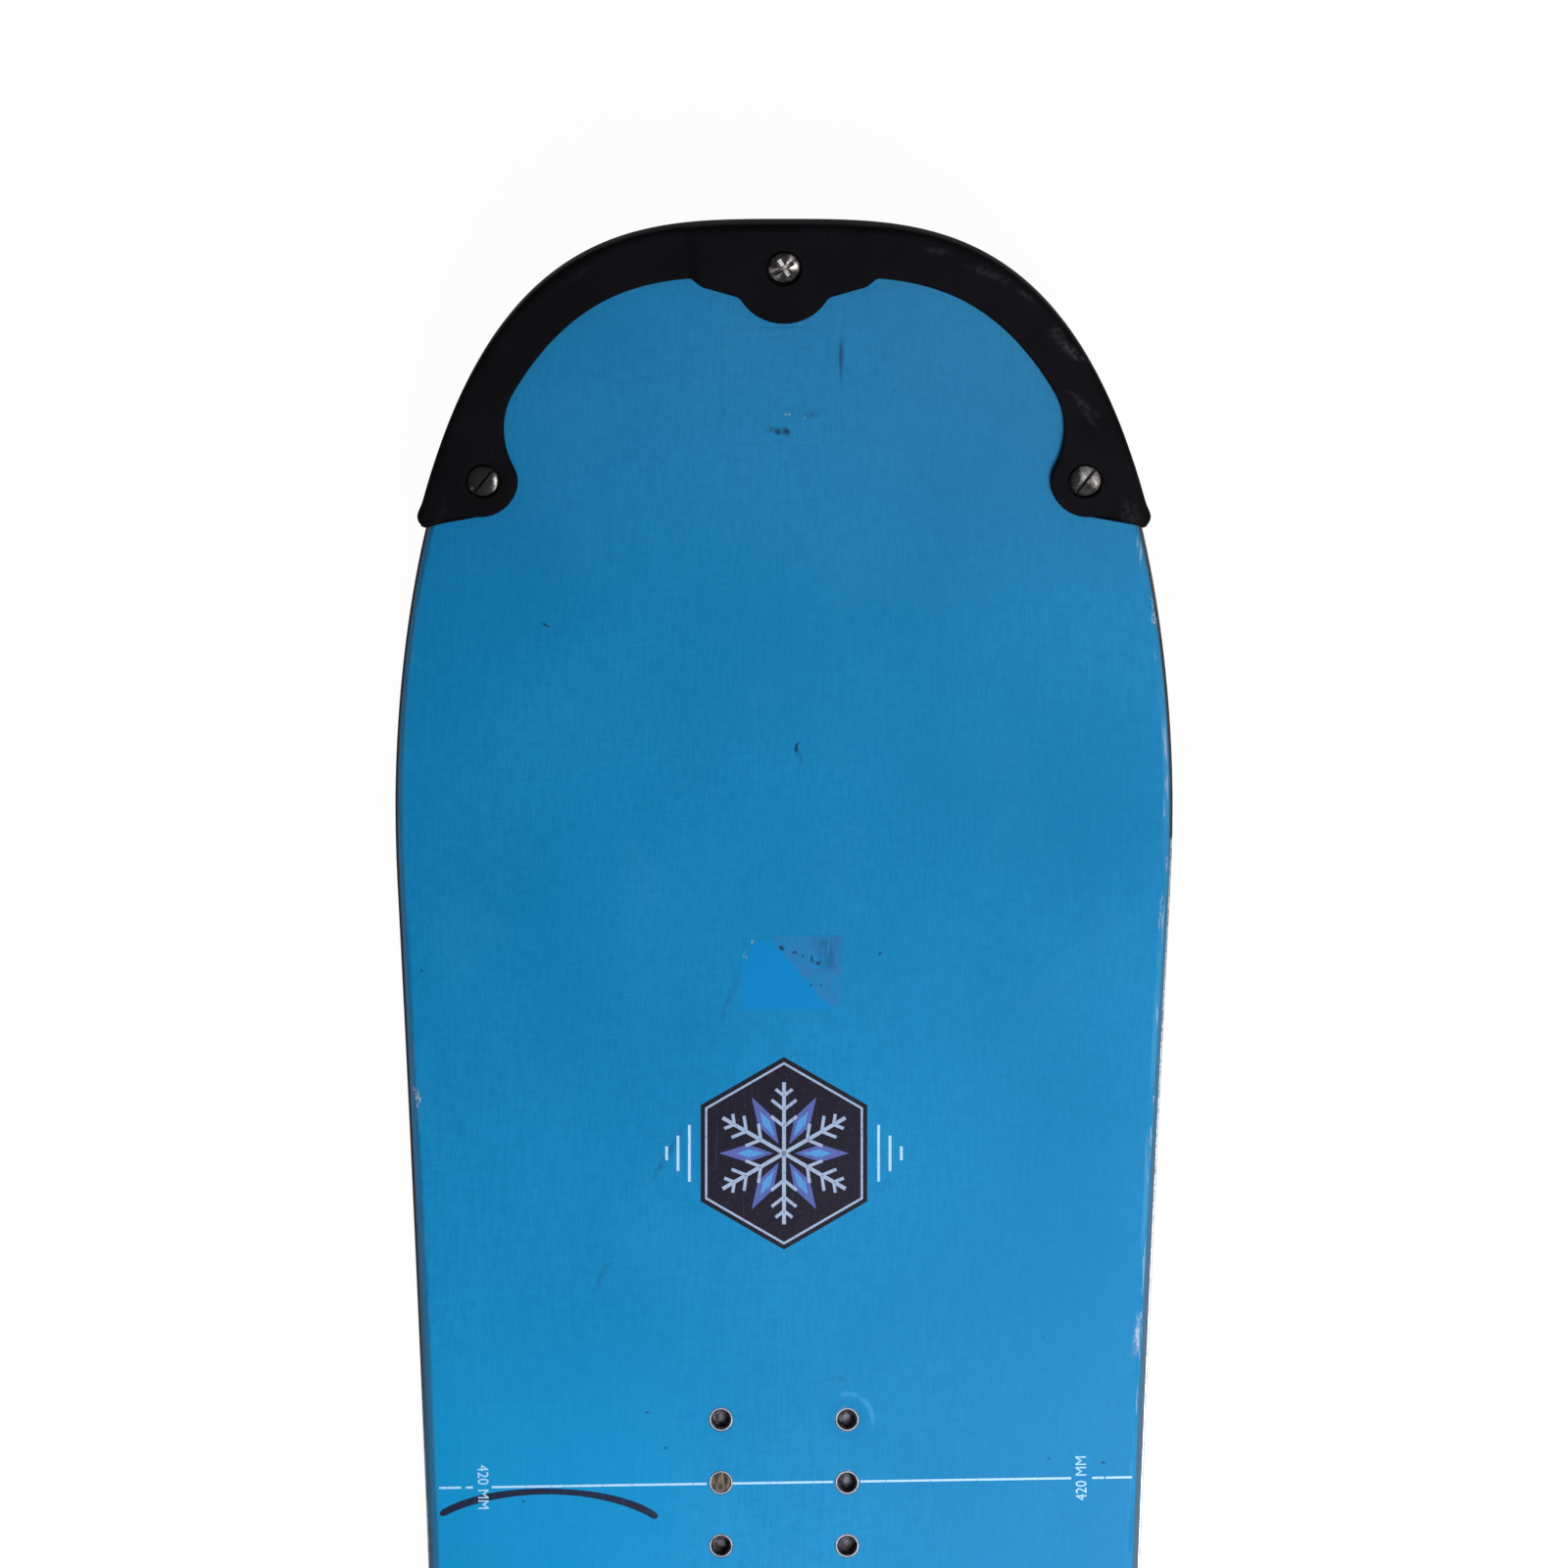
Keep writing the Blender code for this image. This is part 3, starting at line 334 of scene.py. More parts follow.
class Finish:
    """A material in the making, with the noises and masks that its colours are mixed by."""

    def __init__(self, name, colour, roughness, metallic=0, specular=0.5):
        self.material = bpy.data.materials.new(name)
        self.material.use_nodes = True
        self.tree = self.material.node_tree
        self.shader = self.tree.nodes["Principled BSDF"]
        self.tint(colour)
        self.put("Roughness", roughness)
        self.put("Metallic", metallic)
        self.put("Specular IOR Level", specular)
        self.material.diffuse_color = shade(colour)
        self.place = self.add("ShaderNodeTexCoord", output="Object")

    def add(self, kind, settings=None, inputs=(), output=0):
        """Any node: its settings first, then its sockets by number or name, as values or wires."""
        node = self.tree.nodes.new(kind)
        for setting, value in (settings or {}).items():
            setattr(node, setting, value)
        for key, value in inputs.items() if isinstance(inputs, dict) else enumerate(inputs):
            self.join(value, node.inputs[key])
        return Wire(self, node.outputs[output])

    def join(self, value, socket):
        if isinstance(value, Wire):
            self.tree.links.new(value.socket, socket)
        else:
            socket.default_value = value

    def put(self, socket, value):
        self.join(value, self.shader.inputs[socket])

    def mix(self, first, second, mask):
        """Colour between two colours."""
        return self.add("ShaderNodeMix", {"data_type": "RGBA"}, {0: mask, 6: shade(first), 7: shade(second)}, 2)

    def tint(self, colour, mask=None):
        """Lay a colour over the finish where the mask is 1, or all over it without one."""
        self.colour = shade(colour) if mask is None else self.mix(self.colour, colour, mask)
        self.put("Base Color", self.colour)

    def vector(self, operation, *values, output=0):
        return self.add("ShaderNodeVectorMath", {"operation": operation}, values, output)

    def split(self, vector):
        """x, y and z of a vector as three wires."""
        node = self.add("ShaderNodeSeparateXYZ", {}, [vector]).socket.node
        return [Wire(self, output) for output in node.outputs]

    def laid(self, mark):
        """A value that the mesh carries at its points."""
        return self.add("ShaderNodeAttribute", {"attribute_name": mark}, output="Fac")

    def stretched(self, scale, turn=0):
        """Place multiplied by a scale along each axis, after a turn about Z."""
        return self.add("ShaderNodeMapping", {}, {"Vector": self.place, "Rotation": (0, 0, turn), "Scale": scale})

    def noise(self, scale, detail=3, turn=0):
        """Cloudy noise of 0 to 1; the scale is its waves per metre along x, y and z."""
        place = self.stretched((scale,) * 3 if np.isscalar(scale) else scale, turn)
        return self.add("ShaderNodeTexNoise", {}, {"Vector": place, "Scale": 1, "Detail": detail})

    def shifted(self, amount, scale):
        """Place pushed about by noise, which makes the edges of marks ragged."""
        cloud = self.add("ShaderNodeTexNoise", {}, {"Vector": self.place, "Scale": scale, "Detail": 3}, "Color")
        cloud = self.vector("SUBTRACT", cloud, (0.5, 0.5, 0.5))
        return self.vector("ADD", self.place, self.vector("MULTIPLY", cloud, (amount,) * 3))

    def marks(self, rows, soft=0.5, place=None):
        """Sum of oval masks, each given as x, y and half sizes in mm, turn in degrees, and strength: a
        soft step on the distance from its middle in half sizes, with a height that hardly counts."""
        total = 0
        for x, y, half_x, half_y, turn, strength in rows:
            inputs = {"Vector": place or self.place, "Location": (x / 1000, y / 1000, 0),
                      "Rotation": (0, 0, math.radians(turn)), "Scale": (half_x / 1000, half_y / 1000, 10)}
            seen = self.add("ShaderNodeMapping", {"vector_type": "TEXTURE"}, inputs)
            total = total + self.vector("LENGTH", seen, output="Value").ramp(1 + soft, 1 - soft) * strength
        return total.least(1)

    def inwards(self, corners, place):
        """Distance inwards from the nearest side of a convex outline, its corners in mm and clockwise:
        the least of the distances to the right of its sides."""
        x, y, _ = self.split(place)
        found = None
        for (x1, y1), (x2, y2) in zip(corners, corners[1:] + corners[:1]):
            length = math.hypot(x2 - x1, y2 - y1)
            start = (x1 * (y2 - y1) - y1 * (x2 - x1)) / length / 1000
            away = x * ((y2 - y1) / length) - y * ((x2 - x1) / length) - start
            found = away if found is None else found.least(away)
        return found

    def bump(self, height, depth, normal=None):
        """Normal of a relief of this depth in metres where the height goes from 0 to 1."""
        inputs = {"Height": height, "Distance": depth} | ({"Normal": normal} if normal else {})
        return self.add("ShaderNodeBump", {}, inputs)


print("shader sums are ready")

# %% [markdown]
# ## Blue topsheet
# The topsheet is a printed plastic film, pressed down over the side of the board. It is one skin: up the
# leaning side, round the shoulder and flat across. A single plate would need its rim rounded later, so
# the skin is lofted from closed sections, outer face and inner face, from the tail to the nose.

# %% Sections of the skin
SIDE_FOOT, SIDE_LEAN, SHOULDER_RADIUS, SETBACK = 0.0021, math.radians(28), 0.002, 0.0005
MIDDLE_HEIGHT, TIP_HEIGHT, SKIN = 0.0079, 0.0053, 0.0005
TOP_COLUMNS, UNDER_COLUMNS, OUTER_STEPS, INNER_STEPS = 15, 3, 8, 3


def top_height(u):
    """Height of the top over the base: full under the feet, then an even fall to the contact point."""
    share = np.clip((np.abs(u) - FULL_CORE) / (CONTACT - FULL_CORE), 0, 1)
    return MIDDLE_HEIGHT + share * (TIP_HEIGHT - MIDDLE_HEIGHT)


def rolled_side(depth, height, steps):
    """Inset and level, as [station, point], up the leaning side and round the shoulder: centre minus
    r cos a across and top minus R plus r sin a up, with a from the lean to a quarter turn."""
    radius = SHOULDER_RADIUS - depth
    lean = math.tan(SIDE_LEAN)
    rise = height - SHOULDER_RADIUS * (1 - math.sin(SIDE_LEAN)) - SIDE_FOOT
    centre = SETBACK + SHOULDER_RADIUS * math.cos(SIDE_LEAN) + rise * lean
    angle = np.linspace(SIDE_LEAN, np.pi / 2, steps)
    inset = centre[:, None] - radius * np.cos(angle)
    level = height[:, None] - SHOULDER_RADIUS + radius * np.sin(angle)
    foot = np.full_like(centre, SETBACK + depth / math.cos(SIDE_LEAN))
    middle, half_up = (foot + inset[:, 0]) / 2, (SIDE_FOOT + level[:, 0]) / 2
    inset = np.concatenate([foot[:, None], middle[:, None], inset], axis=1)
    level = np.concatenate([np.full_like(foot, SIDE_FOOT)[:, None], half_up[:, None], level], axis=1)
    return inset, level


def inward(line, inset):
    """Flat x and u of a line such as EDGE, moved inwards along its normals."""
    return [line[k][:, None] - inset * line[k + 2][:, None] for k in (0, 1)]


def across(inset, level, columns):
    """One face of a sheet as flat (x, u, h): left side, columns across the top, right side."""
    x, u = inward(EDGE, inset)
    top = x[:, -1:] * np.linspace(1, -1, columns + 2)[1:-1]
    flat_u, flat_h = (line[:, -1:] + 0 * top for line in (u, level))
    x = np.concatenate([x, top, -x[:, ::-1]], axis=1)
    u = np.concatenate([u, flat_u, u[:, ::-1]], axis=1)
    return x, u, np.concatenate([level, flat_h, level[:, ::-1]], axis=1)


def closed_sheet(outer, inner, columns):
    """Bent grid of a sheet, from the (inset, level) of both faces: the outer one, and the inner one
    backwards."""
    faces = across(*outer, columns), [part[:, ::-1] for part in across(*inner, UNDER_COLUMNS)]
    return bend(*[np.concatenate(pair, axis=1) for pair in zip(*faces)])


outer = rolled_side(0, top_height(EDGE[1]), OUTER_STEPS)
skin = closed_sheet(outer, rolled_side(SKIN, top_height(EDGE[1]), INNER_STEPS), TOP_COLUMNS)
print("topsheet grid:", skin.shape[:2])

# %% [markdown]
# The finish needs to know where the shoulder is, because its print is rubbed there and a highlight is
# painted along it, and where the side is, because painted shade darkens it. So each point carries its
# distances from the shoulder and from the foot of the side, measured round the section, and the finish
# reads them as attributes.

# %% Distances from the shoulder and the foot
SHOULDER_POINT, ON_TOP, HIDDEN = 5, 0.02, -0.01
run = run_of(*outer)
marks = {}
for mark, side_part in (("shoulder", run - run[:, SHOULDER_POINT, None]), ("foot", run)):
    flat_part = np.full((len(run), TOP_COLUMNS), ON_TOP)
    face_part = np.concatenate([side_part, flat_part, side_part[:, ::-1]], axis=1)
    inner_part = np.full((len(run), skin.shape[1] - face_part.shape[1]), HIDDEN)
    marks[mark] = np.concatenate([face_part, inner_part], axis=1)
    print("%s marks up to %.4f m" % (mark, marks[mark].max()))

# %% [markdown]
# Used boards show their life: a faint weave of fibres under the film, a few hairlines, dark smears, the
# clean patch and the dull glue where a sticker was torn off, and chips on the shoulder. Each mark is an
# oval or a straight-sided patch laid at its place, its edge broken up by noise, over a blue that is itself
# a little cloudy.

# %% Blue film with its weave
film = Finish("topsheet_film", (21, 131, 189), 0.44, specular=0.06)
ragged = film.shifted(0.0022, 640)
cloud = film.noise(9, 4)
film.tint(film.mix((17, 127, 183), (25, 137, 195), cloud.ramp(0.3, 0.7)))
fibre = film.noise((1200, 190, 190), 3) * 0.6 + film.noise((200, 1000, 200), 3) * 0.4
film.tint((2, 110, 162), fibre.ramp(0.42, 0.6) * 0.28)
streaks = film.noise((900, 42, 42), 3)
film.tint((34, 150, 206), streaks.ramp(0.52, 0.74) * 0.1)
film.tint((58, 148, 198), film.noise(34, 5).ramp(0.5, 0.75) * 0.1)
aside, along, _ = film.split(film.place)
off_waist = abs(along)
# Painted light and shade in the film's colour: a paler painted sheen on the right, painted shade on the right under
# the feet, painted light on the left there, and painted shade towards the nose.
film.tint((72, 150, 188), aside.ramp(-0.09, 0.12) * 0.08)
film.tint((4, 116, 172), aside.ramp(-0.01, 0.11) * off_waist.ramp(0.42, 0.24) * 0.45)
film.tint((14, 148, 208), aside.ramp(0, -0.06) * off_waist.ramp(0.28, 0.215) * 0.45)
film.tint((40, 84, 112), along.ramp(0.46, 0.58) * 0.2)
hairs = film.noise((1500, 16, 16), 1, 0.05).ramp(0.71, 0.75)
hairs = hairs.most(film.noise((1300, 20, 20), 1, 0.62).ramp(0.72, 0.76))
hairs = hairs * film.noise(14, 2).ramp(0.5, 0.66)
film.tint((96, 170, 214), hairs * 0.08)
dots = film.add("ShaderNodeTexVoronoi", {}, {"Vector": film.place, "Scale": 46}, "Distance")
specks = dots.ramp(0.036, 0.018) * film.noise(30, 1).ramp(0.52, 0.56)
film.tint((8, 66, 108), specks * 0.7)
print("cloudy blue with its weave, streaks and specks")

# %% Torn-off stickers
CLEAN_PATCH = [(-8.4, 381.8), (-3.8, 381.6), (14, 360.9), (13.6, 359.6), (-13.4, 359.6), (-13.4, 374.9)]
GLUE_PATCH = [(-3.4, 383.3), (18.3, 383.3), (18.3, 360.7), (14, 360.9), (-3.4, 381.1)]
DUSTY_CORNER = [(8.6, 383), (17.9, 383), (17.9, 371.5), (11.5, 372)]
OLD_STICKER = [(-19.3, 573.6), (18.2, 573.6), (18.2, 538), (-19.3, 538)]
frayed = film.shifted(0.001, 420)
clean = film.inwards(CLEAN_PATCH, frayed).ramp(-0.0005, 0.0007)
glue = film.inwards(GLUE_PATCH, frayed).ramp(-0.0003, 0.0008) * (1 - clean)
dusty = film.inwards(DUSTY_CORNER, film.shifted(0.003, 300)).ramp(-0.0016, 0.003)
film.tint((9, 134, 204), clean * 0.8)
film.tint((58, 116, 180), glue * (0.2 + film.noise(300, 4).ramp(0.35, 0.7) * 0.45))
film.tint((30, 92, 136), dusty * film.noise((1100, 150, 150), 4).ramp(0.22, 0.7) * 0.75)
old_edge = film.inwards(OLD_STICKER, frayed)
old_edge = old_edge.ramp(-0.0006, -0.0001) * old_edge.ramp(0.0006, 0.0001) * film.noise(60).ramp(0.4, 0.6)
film.tint((16, 84, 126), old_edge * 0.22)
print("clean patch, glue and the edge of an older sticker")

# %% Smears, specks and chips
SMEARS = [
    (-17.4, 362.9, 1, 6.6, -22, 0.35), (-37.2, 313.5, 0.9, 7.4, -30, 0.65), (-57.6, 275.6, 0.8, 5.6, -27, 0.35),
    (-60, 270.9, 1, 0.7, 0, 0.7), (8.2, 547.2, 2.2, 1, 8, 0.55), (-8.2, 545.9, 1.3, 1, 0, 0.55),
    (-3.6, 542.3, 2.4, 0.9, -8, 0.7), (17.5, 242.9, 3.6, 0.9, 4, 0.28), (9.8, 241.8, 2.2, 0.8, 0, 0.22),
    (-20, 230, 5.6, 5.2, 0, 0.14), (-20, 210, 5.4, 5, 0, 0.1), (20, 210, 5.4, 5, 0, 0.1),
    (31, 304, 3.2, 1.3, 20, 0.22), (5, 439.6, 0.9, 2.2, 10, 0.55), (-30, 231, 3, 1.2, 10, 0.2),
    (29, -270, 1.2, 8, 20, 0.45), (-48, -365, 1.1, 7, -24, 0.5), (12, -420, 2.6, 1, 12, 0.4),
]
SPECKS = [
    (0.8, 541.9, 1.2, 1.2, 0, 0.95), (-1.9, 541.8, 0.9, 0.8, 0, 0.75), (-75.4, 481.7, 1.3, 0.4, -35, 0.85),
    (3.9, 443, 0.6, 1.6, -12, 1), (-43.5, 232, 0.6, 0.4, 0, 0.85), (101.3, 216.4, 0.5, 0.4, 0, 0.8),
    (30.3, 377.5, 0.5, 0.5, 0, 0.7), (-0.8, 379.3, 0.8, 0.6, 0, 0.9), (3.5, 377.9, 1, 0.4, -25, 0.8),
    (8.9, 375.8, 0.6, 0.9, 20, 0.75), (10.6, 374.7, 0.8, 0.5, 0, 0.85), (8.5, 367.8, 0.5, 0.4, 0, 0.75),
    (11.4, 367.4, 0.5, 0.4, 0, 0.6), (5.9, 377, 0.5, 0.3, 0, 0.7), (-64, -330, 0.9, 0.5, 30, 0.8),
    (40, -480, 0.6, 0.6, 0, 0.8),
]
CHIPS = [
    (116.4, 488.9, 0.35, 2.6, 16, 0.8), (117.2, 484, 0.8, 2.2, 12, 1), (121.7, 406.1, 0.6, 2.2, -2, 0.9),
    (119.6, 392, 0.3, 5, -5, 0.6), (117.3, 331.1, 0.5, 1.6, -5, 0.8), (116.3, 316, 0.3, 4.5, -5, 0.6),
    (112.2, 257.5, 1.3, 6.8, -8, 0.6), (-116.9, 333.2, 1, 2.2, 14, 1), (-115.9, 330.6, 0.5, 1.6, -20, 0.9),
    (-12.3, 377.5, 0.4, 1.1, -15, 0.65), (-10.3, 381.5, 0.4, 0.5, 0, 0.5), (1, 547.2, 0.9, 0.35, 0, 0.5),
    (6.6, 546, 0.45, 0.45, 0, 0.5), (113.2, -295, 0.9, 4.2, 6, 0.9), (-114.4, -248, 1, 3.2, -8, 0.9),
]
smears = film.marks(SMEARS, 0.7, ragged) * film.noise((700, 420, 420), 3).ramp(0.32, 0.58)
scratch = film.marks([(17.8, 564, 0.55, 5.6, 0, 0.9), (18, 566, 1, 3, 0, 0.3)], 0.8)
film.tint((26, 70, 112), smears.most(scratch) * 0.8)
specks = film.marks(SPECKS, 0.5, ragged)
film.tint((26, 38, 60), specks * 0.9)
splinters = film.noise((2100, 420, 900), 3)
bruise = film.marks(CHIPS, 0.95, ragged)
chips = film.marks(CHIPS, 0.25, ragged) * splinters.ramp(0.4, 0.56)
film.tint((96, 122, 156), bruise * splinters.ramp(0.34, 0.6) * 0.55)
flakes = film.mix((116, 146, 176), (206, 218, 228), film.noise(900, 3).ramp(0.44, 0.62))
film.tint(flakes, chips)
print("smears:", len(SMEARS), "specks:", len(SPECKS), "chips:", len(CHIPS))

# %% Washer print round one insert
WASHER_CENTRE = (0.02, 0.23, MIDDLE_HEIGHT)
from_centre = film.vector("SUBTRACT", film.place, WASHER_CENTRE)
from_hole = film.vector("LENGTH", from_centre, output="Value")
x, y, _ = film.split(from_centre)
arc_mask = from_hole.ramp(0.0068, 0.0078) * from_hole.ramp(0.0092, 0.0083) * (x + y).ramp(0.003, 0.009)
film.tint((92, 178, 226), arc_mask * film.noise(420).ramp(0.3, 0.6) * 0.28)
film.tint((6, 106, 164), from_hole.ramp(0.0074, 0.0052) * 0.25)
print("a washer left its print round the insert at", WASHER_CENTRE[:2])

# %% Shoulder with wear and a painted highlight, side with painted shade and light
shoulder = film.laid("shoulder")
# The shoulder band is partly rubbed wear and partly a painted highlight: its pale line and its whitish glints grow
# stronger on the right.
rub_and_highlight = shoulder.ramp(-0.0015, -0.0007) * shoulder.ramp(0.0013, 0.0006)
worn_and_lit_line = rub_and_highlight * film.noise((60, 22, 60), 4).ramp(0.34, 0.6)
right_half = aside.ramp(-0.05, 0.05)
film.tint((84, 158, 200), worn_and_lit_line * (0.18 + right_half * 0.22))
bare_and_glinting_line = rub_and_highlight * film.noise((500, 60, 500), 3).ramp(0.58, 0.66) * (0.06 + right_half * 0.54)
film.tint((170, 186, 212), bare_and_glinting_line)
# The leaning side is painted darker as shade, with a greyer painted shade low on the side, most on the right and
# under the feet.
rolled = shoulder - right_half * 0.001
side, low_side = rolled.ramp(-0.0022, -0.0032), rolled.ramp(-0.0037, -0.005)
under_feet = off_waist.ramp(0.37, 0.24)
side_shade = side * (0.2 + film.noise(120).ramp(0.4, 0.7) * 0.2 + under_feet * 0.2 + right_half * 0.3)
film.tint(film.mix((14, 84, 124), (52, 96, 118), right_half), side_shade)
low_side_shade = low_side * (0.1 + under_feet * 0.4 + right_half * 0.38) * (0.7 + film.noise(240).ramp(0.4, 0.6) * 0.3)
film.tint(film.mix((30, 66, 84), (84, 96, 112), right_half), low_side_shade)
# Painted light: the left side is made lighter towards the tips.
film.tint((24, 150, 214), side * (1 - right_half) * (1 - under_feet) * 0.55)
# Painted shade: a dark line along the foot of the side, round the tips and along the left.
shaded_edge_line = off_waist.ramp(0.4135, 0.4145).most((1 - right_half) * off_waist.ramp(0.22, 0.3))
film.tint((40, 42, 50), film.laid("foot").ramp(0.0014, 0.0008) * shaded_edge_line * 0.9)
film.put("Roughness", 0.36 + cloud * 0.1 + hairs * 0.12 + glue * 0.12 + chips * 0.3 + worn_and_lit_line * 0.15)
relief = film.noise(520, 2) * 0.35 + fibre * 0.65
film.put("Normal", film.bump(hairs + chips * 2, -0.00003, film.bump(relief, 0.00003)))

topsheet = make_piece("topsheet_skin", loft(skin), film, ["topsheet"], marks=marks)
print("topsheet faces:", len(topsheet.data.polygons))

# %% [markdown]
# ## Holes in the skin
# The bindings screw into threaded inserts, two columns of four rows under each foot. A board press leaves
# the insert's barrel flush with the top, so each one shows as a metal ring in a round hole. The holes are
# cut with one Boolean from round tools.

# %% Insert places and their holes
COLUMN, ROWS = 0.02, (0.23, 0.21, 0.19, 0.17)
INSERT_RADIUS, INSERT_TOP = 0.00375, 0.0078
HOLE_RADIUS, HOLE_LOW, HOLE_HIGH = INSERT_RADIUS + 0.0001, 0.0055, 0.01
FEET = (("front", 1), ("rear", -1))
insert_places = {
    f"{foot}_insert_{2 * row + side + 1}": (x, end * distance)
    for foot, end in FEET
    for row, distance in enumerate(ROWS)
    for side, x in enumerate((-COLUMN, COLUMN))
}
hole = [(0, HOLE_LOW), (HOLE_RADIUS, HOLE_LOW), (HOLE_RADIUS, HOLE_HIGH), (0, HOLE_HIGH)]
drill(topsheet, [turned(hole, bent_frame(x, u), HOLE_SEGMENTS) for x, u in insert_places.values()])
print("holes:", len(insert_places), "faces now:", len(topsheet.data.polygons))

# %% [markdown]
# ## Prints
# The real prints lie under the clear film. Here they are thin slabs of ink on top of it, because a mesh
# keeps its crisp edge at any distance, where a pattern in a texture of a whole board would blur. Each
# slab follows the top surface through the same two steps as the skin.

# %% Ink slabs that follow the top
INK = 0.00003
PRINT_TILT = math.radians(0.89)


def on_top(x, y, lift):
    return bend(x, y, top_height(y) + lift)


def slab(outlines, lift=INK):
    """Closed slabs over outlines of shape (count, corners, 2), each a loft of a lower and an upper ring."""
    x, y = np.moveaxis(np.asarray(outlines, float), -1, 0)
    rings = np.stack([on_top(x, y, level) for level in (-INK, lift)], axis=1)
    return gather([loft(pair, ends=True) for pair in rings])


def strips(lines, width):
    """Rectangles of one width along lines given as (x1, y1, x2, y2)."""
    lines = np.asarray(lines, float)
    first, last = lines[:, :2], lines[:, 2:]
    along = (last - first) / np.linalg.norm(last - first, axis=1, keepdims=True)
    aside = np.stack([-along[:, 1], along[:, 0]], axis=1) * width / 2
    return np.stack([first - aside, last - aside, last + aside, first + aside], axis=1)


def polar(radius, angle, centre=(0, 0)):
    return np.stack([centre[0] + radius * np.cos(angle), centre[1] + radius * np.sin(angle)], axis=-1)


print("ink thickness: %.3f mm" % (1000 * INK))

# %% Inks
def ink(name, colour, worn):
    """Printing ink with faint rubbed places, where the blue film shows through."""
    made = Finish(name, colour, 0.42, specular=0.12)
    rubbed = made.noise((1300, 40, 40), 2, 0.4).ramp(0.62, 0.7) * 0.5
    made.tint(worn, rubbed.most(made.noise(800, 3).ramp(0.6, 0.72) * 0.6))
    return made


INKS = {"pale": ((176, 214, 242), (84, 164, 218)), "navy": ((26, 24, 38), (44, 52, 74)),
        "marker": ((24, 34, 58), (24, 60, 100)), "frost": ((160, 178, 208), (96, 112, 144)),
        "lavender": ((88, 100, 170), (62, 78, 138)), "sky": ((84, 150, 212), (64, 116, 178))}
inks = {name: ink(f"{name}_ink", *colours) for name, colours in INKS.items()}
print("inks:", ", ".join(inks))

# %% [markdown]
# ### Stance marks
# A line across the board marks the stance, with its width in millimetres at both ends, to be read from
# either side. The film slipped a little in the press, so line and numbers are turned by about a degree.

# %% Stance lines and numbers
STANCE, STANCE_TEXT = 0.21, "420 MM"
DASHES = [(-0.1093, -0.1023), (-0.1009, -0.0986), (-0.0926, -0.0245), (-0.0165, 0.0156), (0.0242, 0.091)]
DASHES += [(0.0977, 0.1014), (0.1019, 0.1103)]
LINE_WIDTH, CAP_HEIGHT, NUMBER_X = 0.00068, 0.0036, {-1: 0.0955, 1: 0.0943}
FONT_CAP, NUMBER_SQUEEZE = 0.73, 0.87


def stance_lines(end):
    tilt = math.tan(PRINT_TILT)
    lines = [(a, end * STANCE + a * tilt, b, end * STANCE + b * tilt) for a, b in DASHES]
    return slab(strips(lines, LINE_WIDTH))


def stance_number(name, side, end):
    """The number as a thin mesh: text made a mesh first, then laid on the top."""
    words = bpy.data.curves.new(name, "FONT")
    words.body, words.size, words.extrude, words.resolution_u = STANCE_TEXT, CAP_HEIGHT / FONT_CAP, 2 * INK, 3
    words.align_x, words.align_y = "CENTER", "CENTER"
    holder = bpy.data.objects.new(name, words)
    mesh = bpy.data.meshes.new_from_object(holder)
    bpy.data.objects.remove(holder)
    x = side * NUMBER_X[side]
    y = end * STANCE + x * math.tan(PRINT_TILT)
    for step in (Matrix.Diagonal((NUMBER_SQUEEZE, 1, 1, 1)), Matrix.Rotation(side * math.pi / 2 + PRINT_TILT, 4, "Z"),
                 Matrix.Translation((x, y, MIDDLE_HEIGHT))):
        mesh.transform(step)
    mesh.materials.clear()
    mesh.materials.append(inks["pale"].material)
    tidy(mesh, 30)
    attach(stand(name, mesh), "root")


for foot, end in FEET:
    make_piece(f"{foot}_stance_line", stance_lines(end), inks["pale"])
    stance_number(f"{foot}_stance_number_left", -1, end)
    stance_number(f"{foot}_stance_number_right", 1, end)
print("stance lines and numbers under both feet")

# %% [markdown]
# ### Snow crystal and marker stroke
# The graphics are plain ones: a dark hexagon with a six-armed snow crystal between the foot and the nose,
# bars beside it, and a marker stroke by each foot. Arms, twigs, petals and bars are small outlines
# repeated round a centre, so one array holds all copies of each.

# %% Hexagon with a snow crystal
CRYSTAL = (0, 0.3143)
PLATE, BORDER_INSET, BORDER_WIDTH, HEXAGON_FLAT = 0.0305, 0.0016, 0.0007, math.cos(math.pi / 6)
ARM, ARM_WIDTH, TWIG_WIDTH, TWIG_TURN = 0.0225, 0.0012, 0.001, 0.9
BAR_PITCH, BAR_WIDTH, BAR_HALF, BAR_FALL = 0.0036, 0.0009, 0.0124, 0.0034
sixth = np.arange(6)[:, None] * np.pi / 3 + np.pi / 6


def hexagon(radius):
    return polar(radius, sixth[:, 0], CRYSTAL)[None]


def hexagon_line():
    """Six bars that meet at the corners: each has its ends cut along the corner lines."""
    radius = PLATE - BORDER_INSET
    outer, inner = hexagon(radius)[0], hexagon(radius - BORDER_WIDTH / HEXAGON_FLAT)[0]
    return np.stack([outer, np.roll(outer, -1, axis=0), np.roll(inner, -1, axis=0), inner], axis=1)


def spokes(radius, length, width, turns=(0,)):
    """Strips that start at this radius on each arm of the crystal, turned off it."""
    start = polar(radius, sixth, CRYSTAL)
    lines = [np.concatenate([start, start + polar(length, sixth + turn)], axis=-1) for turn in turns]
    return strips(np.concatenate(lines).reshape(-1, 4), width)


def kites(first, middle, last, spread, turn):
    """Four-cornered petals: the radii of their ends and of their widest place, and half their angle."""
    corners = ((first, 0), (middle, -spread), (last, 0), (middle, spread))
    return np.stack([polar(radius, sixth[:, 0] + turn + side, CRYSTAL) for radius, side in corners], axis=1)


